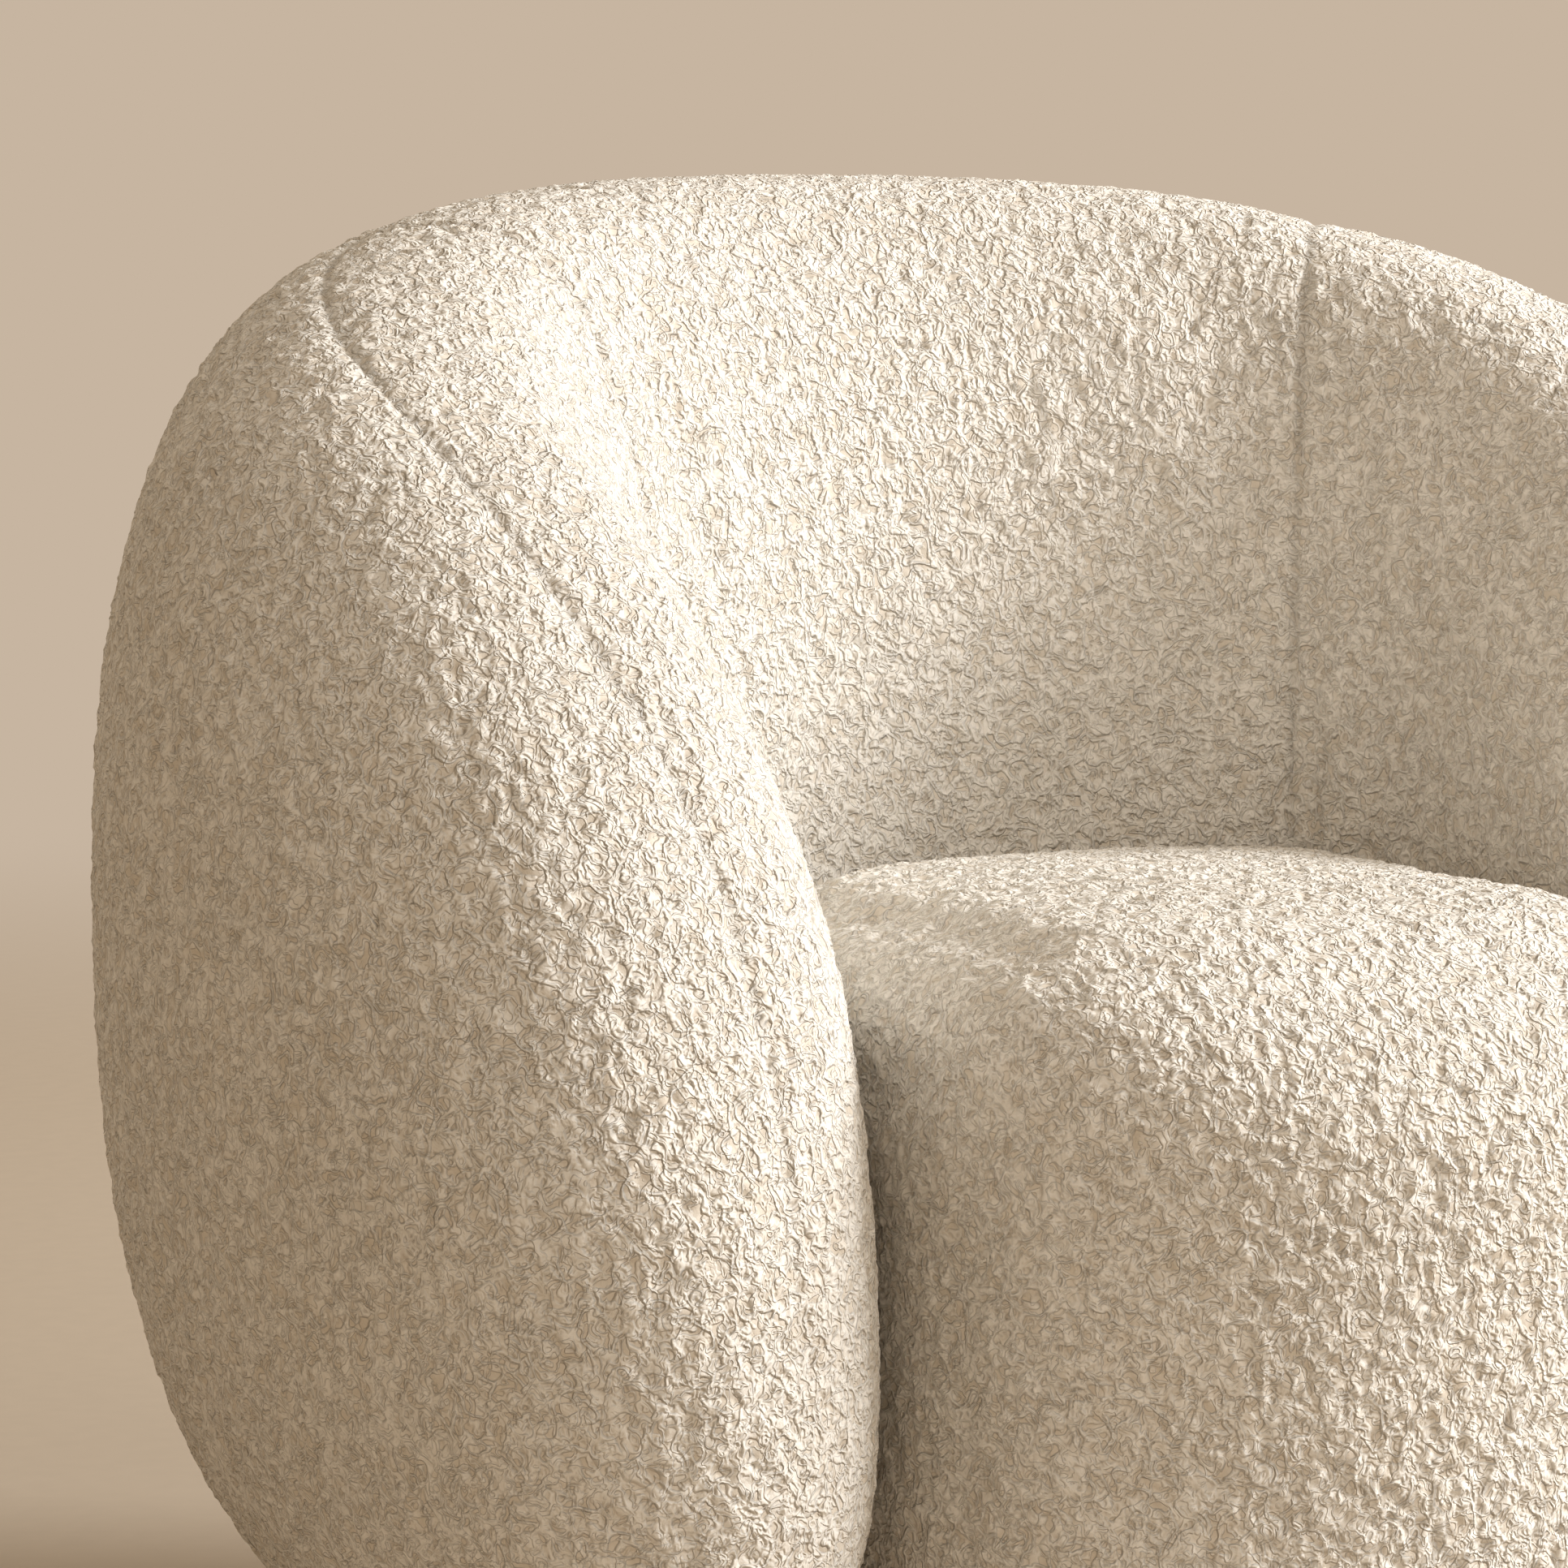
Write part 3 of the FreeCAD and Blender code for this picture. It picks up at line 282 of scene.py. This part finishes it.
def sew(thing, line):
    """Pulls the surface in along a seam and marks how near each point is to it."""
    points = coordinates(thing)
    away = distances(points, line)
    depth = (GROOVE_DEPTH * np.exp(-(away / GROOVE_WIDTH) ** 2)
             + VALLEY_DEPTH * np.exp(-(away / VALLEY_WIDTH) ** 2))
    set_coordinates(thing, points - vertex_normals(thing) * depth[:, None])
    return np.exp(-(away / GROOVE_WIDTH) ** 2)


def mark(thing, name, values):
    """Stores one value per point for the material."""
    attribute = thing.data.attributes.new(name, "FLOAT", "POINT")
    attribute.data.foreach_set("value", values.astype(np.float32))


# ------------------------------------------------------------------ bouclé relief

KNOT_PITCH = 0.0085
LOOP_PITCH = 0.0100
DRIFT_PITCH = 0.012
DRIFT = 0.7
KNOT_RELIEF = 0.0010
LOOP_RELIEF = 0.0016
SOFT_PITCH = 0.075
SOFT_RELIEF = 0.0008


def curl_height(point):
    """Height of the curled yarn at a point: knots, wandering loops and a slight unevenness."""
    drift = noise.noise_vector(point / DRIFT_PITCH) * DRIFT
    knots = 0.55 - noise.voronoi(point / KNOT_PITCH + drift)[0][0]
    loops = 0.35 - abs(noise.noise(point / LOOP_PITCH + drift * 1.6)) * 1.7
    soft = noise.noise(point / SOFT_PITCH)
    return knots * KNOT_RELIEF * 2 + loops * LOOP_RELIEF + soft * SOFT_RELIEF


def curl(thing, flatten):
    """Raises the bouclé's curls; flatten is 1 where a seam pulls them tight."""
    points = coordinates(thing)
    height = np.array([curl_height(Vector(point)) for point in points])
    height = height * (1 - 0.55 * flatten)
    set_coordinates(thing, points + vertex_normals(thing) * height[:, None])


# ------------------------------------------------------------------ materials

def new_material(name):
    """Empty node material with a Principled shader; returns material, tree and shader."""
    material = bpy.data.materials.new(name)
    material.use_nodes = True
    tree = material.node_tree
    shader = tree.nodes["Principled BSDF"]
    return material, tree, shader


def node(tree, kind, **values):
    """New node with its inputs set by name and its properties by lower-case keyword."""
    made = tree.nodes.new(kind)
    for key, value in values.items():
        if key[0].islower():
            setattr(made, key, value)
        else:
            made.inputs[key.replace("_", " ")].default_value = value
    return made


def math_node(tree, operation, first, second):
    """Math node whose two inputs are sockets or numbers."""
    made = tree.nodes.new("ShaderNodeMath")
    made.operation = operation
    for index, value in enumerate((first, second)):
        if isinstance(value, (int, float)):
            made.inputs[index].default_value = value
        else:
            tree.links.new(value, made.inputs[index])
    return made.outputs[0]


def ramp(tree, value, stops):
    """Colour ramp over a value socket."""
    made = tree.nodes.new("ShaderNodeValToRGB")
    while len(made.color_ramp.elements) < len(stops):
        made.color_ramp.elements.new(0.5)
    for element, (place, colour) in zip(made.color_ramp.elements, stops):
        element.position = place
        element.color = (*colour, 1)
    tree.links.new(value, made.inputs["Fac"])
    return made.outputs["Color"]


def texture(tree, kind, place, **values):
    """Texture node reading object coordinates."""
    made = node(tree, kind, **values)
    tree.links.new(place, made.inputs["Vector"])
    return made


def object_place(tree):
    """Object coordinates, in metres."""
    return tree.nodes.new("ShaderNodeTexCoord").outputs["Object"]


def bump(tree, shader, height, strength, distance):
    """Bump from a height socket into the shader's normal."""
    made = node(tree, "ShaderNodeBump", Strength=strength, Distance=distance)
    tree.links.new(height, made.inputs["Height"])
    tree.links.new(made.outputs["Normal"], shader.inputs["Normal"])


# IVORY is the yarn's own colour; the second colour is painted shade for the hollows between the curls.
IVORY = (0.900, 0.872, 0.815)
IVORY_HOLLOW_SHADE = (0.740, 0.675, 0.580)


def yarn_ridges(tree, place, scale, distortion, sharpness):
    """Wandering rounded ridges, like strands of yarn: 1 on a strand's back, 0 beside it."""
    wander = texture(tree, "ShaderNodeTexNoise", place, Scale=scale, Detail=0.6,
                     Roughness=0.4, Distortion=distortion)
    centred = math_node(tree, "SUBTRACT", wander.outputs["Fac"], 0.5)
    away = math_node(tree, "MULTIPLY", centred, sharpness)
    squared = math_node(tree, "MULTIPLY", away, away)
    return math_node(tree, "MAXIMUM", math_node(tree, "SUBTRACT", 1.0, squared), 0.0)


def boucle_material():
    """Ivory bouclé: curled loops of yarn, with painted shade darkening the hollows between them."""
    material, tree, shader = new_material("boucle")
    place = object_place(tree)
    wide = yarn_ridges(tree, place, 105, 1.1, 8.0)
    narrow = yarn_ridges(tree, place, 185, 1.3, 8.0)
    yarn = math_node(tree, "ADD", math_node(tree, "MULTIPLY", wide, 0.6),
                     math_node(tree, "MULTIPLY", narrow, 0.4))
    knots = texture(tree, "ShaderNodeTexVoronoi", place, Scale=150, feature="SMOOTH_F1",
                    Smoothness=0.6)
    knot_height = math_node(tree, "SUBTRACT", 0.8, knots.outputs["Distance"])
    fuzz = texture(tree, "ShaderNodeTexNoise", place, Scale=1300, Detail=2)
    height = math_node(tree, "ADD", math_node(tree, "MULTIPLY", yarn, 0.75),
                       math_node(tree, "MULTIPLY", knot_height, 0.50))
    height = math_node(tree, "ADD", height, math_node(tree, "MULTIPLY", fuzz.outputs["Fac"], 0.05))
    # Painted shade: the lower the relief, the darker the colour, as if the hollows were shaded.
    hollow_shaded_tones = ramp(tree, height, ((0.12, IVORY_HOLLOW_SHADE), (0.62, IVORY)))
    drift = texture(tree, "ShaderNodeTexNoise", place, Scale=9, Detail=3)
    tone_and_seam_shade = math_node(tree, "ADD", 0.95, math_node(tree, "MULTIPLY", drift.outputs["Fac"], 0.08))
    # Painted shade: the colour is darkened along the seams, as if the seam grooves were shaded; the slow
    # drift above is the yarn's own uneven tone.
    seam = node(tree, "ShaderNodeAttribute", attribute_name="seam_shade_mask")
    tone_and_seam_shade = math_node(tree, "MULTIPLY", tone_and_seam_shade,
                      math_node(tree, "SUBTRACT", 1.0,
                                math_node(tree, "MULTIPLY", seam.outputs["Fac"], 0.16)))
    tinted = tree.nodes.new("ShaderNodeVectorMath")
    tinted.operation = "SCALE"
    tree.links.new(hollow_shaded_tones, tinted.inputs[0])
    tree.links.new(tone_and_seam_shade, tinted.inputs["Scale"])
    tree.links.new(tinted.outputs["Vector"], shader.inputs["Base Color"])
    shader.inputs["Roughness"].default_value = 0.93
    shader.inputs["Specular IOR Level"].default_value = 0.2
    shader.inputs["Sheen Weight"].default_value = 0.15
    shader.inputs["Sheen Roughness"].default_value = 0.5
    shader.inputs["Sheen Tint"].default_value = (1.0, 0.97, 0.92, 1)
    bump(tree, shader, height, 0.9, 0.0033)
    return material


def wood_material(name, pale, dark, rough, stretch):
    """Wood with long grain, growth bands and pores."""
    material, tree, shader = new_material(name)
    spread = node(tree, "ShaderNodeMapping", Scale=stretch)
    tree.links.new(object_place(tree), spread.inputs["Vector"])
    place = spread.outputs["Vector"]
    bands = texture(tree, "ShaderNodeTexNoise", place, Scale=14, Detail=6, Distortion=1.2)
    pores = texture(tree, "ShaderNodeTexNoise", place, Scale=160, Detail=2)
    mixed = math_node(tree, "ADD", math_node(tree, "MULTIPLY", bands.outputs["Fac"], 0.75),
                      math_node(tree, "MULTIPLY", pores.outputs["Fac"], 0.25))
    colour = ramp(tree, mixed, ((0.32, dark), (0.68, pale)))
    tree.links.new(colour, shader.inputs["Base Color"])
    level = math_node(tree, "ADD", rough - 0.1, math_node(tree, "MULTIPLY", mixed, 0.2))
    tree.links.new(level, shader.inputs["Roughness"])
    bump(tree, shader, mixed, 0.25, 0.0004)
    return material


def plywood_material():
    """Birch plywood: plies show as bands on the edges, grain on the faces."""
    material, tree, shader = new_material("plywood")
    place = object_place(tree)
    grain = texture(tree, "ShaderNodeTexNoise", place, Scale=40, Detail=6, Distortion=0.8)
    plies = texture(tree, "ShaderNodeTexWave", place, Scale=105, Distortion=0.6, Detail=1,
                    bands_direction="Z")
    mixed = math_node(tree, "ADD", math_node(tree, "MULTIPLY", grain.outputs["Fac"], 0.7),
                      math_node(tree, "MULTIPLY", plies.outputs["Fac"], 0.3))
    colour = ramp(tree, mixed, ((0.3, (0.42, 0.27, 0.14)), (0.7, (0.66, 0.50, 0.31))))
    tree.links.new(colour, shader.inputs["Base Color"])
    level = math_node(tree, "ADD", 0.5, math_node(tree, "MULTIPLY", mixed, 0.25))
    tree.links.new(level, shader.inputs["Roughness"])
    bump(tree, shader, mixed, 0.2, 0.0004)
    return material


def woven_material(name, pale, dark, pitch, relief):
    """Plain weave from two crossed sets of threads."""
    material, tree, shader = new_material(name)
    place = object_place(tree)
    threads = []
    for direction in ("X", "Y", "Z"):
        threads.append(texture(tree, "ShaderNodeTexWave", place, Scale=0.32 / pitch,
                               Distortion=1.2, Detail=1, bands_direction=direction).outputs["Fac"])
    crossed = math_node(tree, "MAXIMUM", math_node(tree, "MULTIPLY", threads[0], threads[2]),
                        threads[1])
    tree.links.new(ramp(tree, crossed, ((0.1, dark), (0.8, pale))), shader.inputs["Base Color"])
    level = math_node(tree, "SUBTRACT", 0.95, math_node(tree, "MULTIPLY", crossed, 0.15))
    tree.links.new(level, shader.inputs["Roughness"])
    bump(tree, shader, crossed, 0.6, relief)
    return material


def steel_material(name, tint, rough):
    """Plated or bright steel with fine brushing and slight smears."""
    material, tree, shader = new_material(name)
    place = object_place(tree)
    smear = texture(tree, "ShaderNodeTexNoise", place, Scale=25, Detail=4)
    scratches = texture(tree, "ShaderNodeTexNoise", place, Scale=900, Detail=2)
    colour = ramp(tree, smear.outputs["Fac"], ((0.3, tuple(0.82 * part for part in tint)), (0.7, tint)))
    tree.links.new(colour, shader.inputs["Base Color"])
    shader.inputs["Metallic"].default_value = 1
    level = math_node(tree, "ADD", rough, math_node(tree, "MULTIPLY", smear.outputs["Fac"], 0.18))
    tree.links.new(level, shader.inputs["Roughness"])
    bump(tree, shader, scratches.outputs["Fac"], 0.12, 0.0002)
    return material


def plastic_material(name, tint, rough):
    """Moulded plastic with a fine spark texture."""
    material, tree, shader = new_material(name)
    place = object_place(tree)
    spark = texture(tree, "ShaderNodeTexNoise", place, Scale=1100, Detail=2)
    wear = texture(tree, "ShaderNodeTexNoise", place, Scale=30, Detail=4)
    colour = ramp(tree, wear.outputs["Fac"], ((0.3, tuple(0.85 * part for part in tint)), (0.7, tint)))
    tree.links.new(colour, shader.inputs["Base Color"])
    level = math_node(tree, "ADD", rough, math_node(tree, "MULTIPLY", wear.outputs["Fac"], 0.2))
    tree.links.new(level, shader.inputs["Roughness"])
    bump(tree, shader, spark.outputs["Fac"], 0.2, 0.0002)
    return material


# ------------------------------------------------------------------ padded pieces

def finish_pad(thing, near, boucle):
    """Curls, material and declarations shared by the padded pieces."""
    curl(thing, near)
    # The seam nearness is kept for the material, which paints shade along the seams with it.
    mark(thing, "seam_shade_mask", near)
    thing.data.materials.clear()
    thing.data.materials.append(boucle)
    thing.data.polygons.foreach_set("use_smooth", [True] * len(thing.data.polygons))
    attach(thing, "chair")


def make_wall(boucle):
    """The padded wall: back and arms in one closed form, sewn along its seams."""
    rows, columns = 330, 240
    share = np.linspace(-1, 1, rows)
    angles = NOSE_ANGLE * np.sin(share * math.pi / 2) * 0.35 + NOSE_ANGLE * share * 0.65
    turns = np.linspace(0, 2 * math.pi, columns, endpoint=False)
    grid_angle, grid_turn = np.meshgrid(angles, turns, indexing="ij")
    points = wall_points(grid_angle, grid_turn, WALL_INSET).reshape(-1, 3)
    wall = mesh_object("wall_upholstery", points, grid_faces(rows, columns, True))
    remesh(wall, WALL_VOXEL)
    relax(wall, 3)
    line = seam_lines()
    places = coordinates(wall)
    away = distances(places, line)
    pinned = (away < WALL_VOXEL) | (places[:, 2] < UNDERSIDE_HEIGHT + 0.02)
    puff(wall, pinned, WALL_CAP)
    relax(wall, 2)
    subdivide(wall)
    near = sew(wall, line)
    finish_pad(wall, near, boucle)
    covers = ["%s_%s" % (side, part) for side in ("inside_back", "outside_back")
              for part in ("cover",)]
    covers += ["outside_back_foam"]
    covers += ["inside_back_foam_" + part for part in ("left", "centre", "right")]
    for hand in ("left", "right"):
        for part in ("inside_arm_cover_", "outside_arm_cover_", "inside_arm_foam_",
                     "outside_arm_foam_"):
            covers.append(part + hand)
    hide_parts(*covers)
    return wall


def seat_ring(scale, level, roll, count):
    """One ring of the seat: its plan at a scale, at a level below the top, rolled at the edge.

    The roll runs from 0, on the side, to pi / 2, on the top. It is largest along the front.
    """
    middle_y = (SEAT_FRONT_CENTRE_Y + PATH_CENTRE_Y) / 2
    ring = []
    for step in range(count):
        turn = 2 * math.pi * step / count
        front = max(0.0, -math.sin(turn)) ** 1.5
        radius = SEAT_EDGE_ROUND + SEAT_FRONT_ROLL * front
        inset = SEAT_INSET + radius * (1 - math.cos(roll))
        centre = PATH_CENTRE_Y if math.sin(turn) > 0 else SEAT_FRONT_CENTRE_Y
        depth = (SEAT_BACK_DEPTH if math.sin(turn) > 0 else SEAT_FRONT_DEPTH) - inset
        half = (SEAT_HALF_WIDTH - inset) * scale
        shoulder = SEAT_TOP - SEAT_INSET - radius
        height = shoulder + radius * math.sin(roll) if roll > 0 else SEAT_LOW + (shoulder - SEAT_LOW) * level
        height += SEAT_CROWN * (1 - scale ** 2.2) if roll > 0 else 0
        ring.append((half * math.cos(turn),
                     middle_y + (centre - middle_y + depth * math.sin(turn)) * scale, height))
    return ring


def make_seat(boucle):
    """The seat: one thick pad with a crowned top, a rolled edge and a tight front."""
    count = 240
    rings = [(share, 0, 0) for share in np.linspace(0, 1, 24)]
    rings += [(1, level, 0) for level in np.linspace(0, 1, 40)[1:]]
    rings += [(1, 1, roll) for roll in np.linspace(0, math.pi / 2, 20)[1:]]
    rings += [(share, 1, math.pi / 2) for share in np.linspace(1, 0, 30)[1:]]
    points = []
    for scale, level, roll in rings:
        points += seat_ring(scale, level, roll, count)
    seat = mesh_object("seat_cushion", points, grid_faces(len(rings), count, True))
    remesh(seat, SEAT_VOXEL)
    relax(seat, 3)
    places = coordinates(seat)
    puff(seat, places[:, 2] < SEAT_LOW + 0.012, SEAT_CAP)
    relax(seat, 2)
    subdivide(seat)
    finish_pad(seat, np.zeros(len(seat.data.vertices)), boucle)
    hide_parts("seat_cover", "seat_foam", "seat_front_pad")
    return seat


# ------------------------------------------------------------------ carried-over CAD nodes

def finish_nodes():
    """Gives every carried-over CAD node its material."""
    finishes = {
        "plywood": plywood_material(),
        "beech": wood_material("beech", (0.62, 0.42, 0.26), (0.43, 0.26, 0.14), 0.55, (1, 1, 6)),
        "hardboard": wood_material("hardboard", (0.27, 0.17, 0.10), (0.18, 0.11, 0.06), 0.7,
                                   (3, 3, 3)),
        "plinth_finish": wood_material("plinth_finish", (0.045, 0.036, 0.030),
                                       (0.018, 0.014, 0.012), 0.45, (1, 7, 7)),
        "jute": woven_material("jute", (0.50, 0.37, 0.21), (0.22, 0.15, 0.08), 0.0028, 0.0008),
        "lining": woven_material("lining", (0.035, 0.034, 0.033), (0.010, 0.010, 0.010),
                                 0.0016, 0.0003),
        "plated_steel": steel_material("plated_steel", (0.62, 0.60, 0.55), 0.30),
        "bright_steel": steel_material("bright_steel", (0.78, 0.78, 0.78), 0.12),
        "nylon": plastic_material("nylon", (0.72, 0.70, 0.64), 0.45),
        "glide": plastic_material("glide", (0.05, 0.05, 0.05), 0.5),
    }
    for entry in frame["record"]["subparts"]:
        finish = finishes.get(entry["material_slot"])
        node = frame["nodes"][entry["node"]]
        if finish is None:
            continue
        node.data.materials.clear()
        node.data.materials.append(finish)


# ------------------------------------------------------------------ stage

BACKDROP = (0.571, 0.462, 0.356)
AMBIENT = (0.400, 0.308, 0.212)
FLOOR = (0.53, 0.455, 0.365)
FLOOR_REACH = 14.0
FADE_START = 1.9
FADE_END = 4.0


def seen_or_ambient(tree):
    """Colour socket: the backdrop as the camera sees it, a dimmer one as it lights the chair."""
    path = tree.nodes.new("ShaderNodeLightPath")
    mixed = node(tree, "ShaderNodeMix", data_type="RGBA")
    colours = [socket for socket in mixed.inputs if socket.type == "RGBA"]
    colours[0].default_value = (*AMBIENT, 1)
    colours[1].default_value = (*BACKDROP, 1)
    tree.links.new(path.outputs["Is Camera Ray"], mixed.inputs[0])
    return next(socket for socket in mixed.outputs if socket.type == "RGBA")


def make_floor():
    """Plain pale floor that melts into the backdrop's colour further out."""
    mesh = bpy.data.meshes.new("floor")
    reach = FLOOR_REACH
    mesh.from_pydata([(-reach, -reach, 0), (reach, -reach, 0), (reach, reach, 0),
                      (-reach, reach, 0)], [], [(0, 1, 2, 3)])
    floor = bpy.data.objects.new("floor", mesh)
    scene.collection.objects.link(floor)
    material, tree, shader = new_material("floor")
    place = object_place(tree)
    shader.inputs["Roughness"].default_value = 0.9
    shader.inputs["Specular IOR Level"].default_value = 0.2
    speckle = texture(tree, "ShaderNodeTexNoise", place, Scale=60, Detail=4)
    darker = tuple(0.97 * part for part in FLOOR)
    tree.links.new(ramp(tree, speckle.outputs["Fac"], ((0.3, darker), (0.7, FLOOR))),
                   shader.inputs["Base Color"])
    distance = node(tree, "ShaderNodeVectorMath", operation="LENGTH")
    tree.links.new(place, distance.inputs[0])
    fade = node(tree, "ShaderNodeMapRange", interpolation_type="SMOOTHSTEP")
    fade.inputs["From Min"].default_value = FADE_START
    fade.inputs["From Max"].default_value = FADE_END
    tree.links.new(distance.outputs["Value"], fade.inputs["Value"])
    glow = tree.nodes.new("ShaderNodeEmission")
    tree.links.new(seen_or_ambient(tree), glow.inputs["Color"])
    mixed = tree.nodes.new("ShaderNodeMixShader")
    tree.links.new(fade.outputs["Result"], mixed.inputs["Fac"])
    tree.links.new(shader.outputs["BSDF"], mixed.inputs[1])
    tree.links.new(glow.outputs["Emission"], mixed.inputs[2])
    tree.links.new(mixed.outputs["Shader"], tree.nodes["Material Output"].inputs["Surface"])
    mesh.materials.append(material)


def make_world():
    """Warm, even surroundings."""
    world = bpy.data.worlds.new("studio")
    world.use_nodes = True
    tree = world.node_tree
    tree.links.new(seen_or_ambient(tree), tree.nodes["Background"].inputs["Color"])
    scene.world = world


def area_light(name, direction, distance, size, power, colour):
    """Soft square light that looks at the chair's middle."""
    data = bpy.data.lights.new(name, "AREA")
    data.size = size
    data.energy = power
    data.color = colour
    lamp = bpy.data.objects.new(name, data)
    scene.collection.objects.link(lamp)
    away = Vector(direction).normalized()
    lamp.location = Vector((0, 0, 0.4)) + away * distance
    lamp.rotation_mode = "QUATERNION"
    lamp.rotation_quaternion = away.to_track_quat("Z", "Y")


CAMERA_AZIMUTH = math.radians(-29.059)
CAMERA_ELEVATION = math.radians(5.923)
CAMERA_DISTANCE = 2.699
CAMERA_SIDESTEP = -0.08
CAMERA_AIM = (0.0, 0.088, 0.448)
CAMERA_LENS = 126.2


def make_camera():
    """Camera at the photograph's place."""
    turn, rise = CAMERA_AZIMUTH, CAMERA_ELEVATION
    back = Vector((math.sin(turn) * math.cos(rise), -math.cos(turn) * math.cos(rise),
                   math.sin(rise)))
    right = Vector((math.cos(turn), math.sin(turn), 0))
    data = bpy.data.cameras.new("camera")
    data.sensor_width = 36
    data.lens = CAMERA_LENS
    camera = bpy.data.objects.new("camera", data)
    scene.collection.objects.link(camera)
    camera.location = Vector(CAMERA_AIM) + right * CAMERA_SIDESTEP + back * CAMERA_DISTANCE
    camera.rotation_mode = "QUATERNION"
    camera.rotation_quaternion = back.to_track_quat("Z", "Y")
    scene.camera = camera


scene.view_settings.view_transform = "Standard"
boucle = boucle_material()
make_wall(boucle)
make_seat(boucle)
finish_nodes()
make_floor()
make_world()
area_light("key", (0.85, -0.36, 0.43), 6.4, 2.2, 530, (1.0, 1.0, 1.0))
area_light("fill", (0.25, -0.72, 0.65), 5.0, 3.4, 62, (1.0, 0.97, 0.92))
area_light("rear", (-0.3, 0.9, 0.7), 5.0, 3.4, 22, (1.0, 0.95, 0.88))
make_camera()
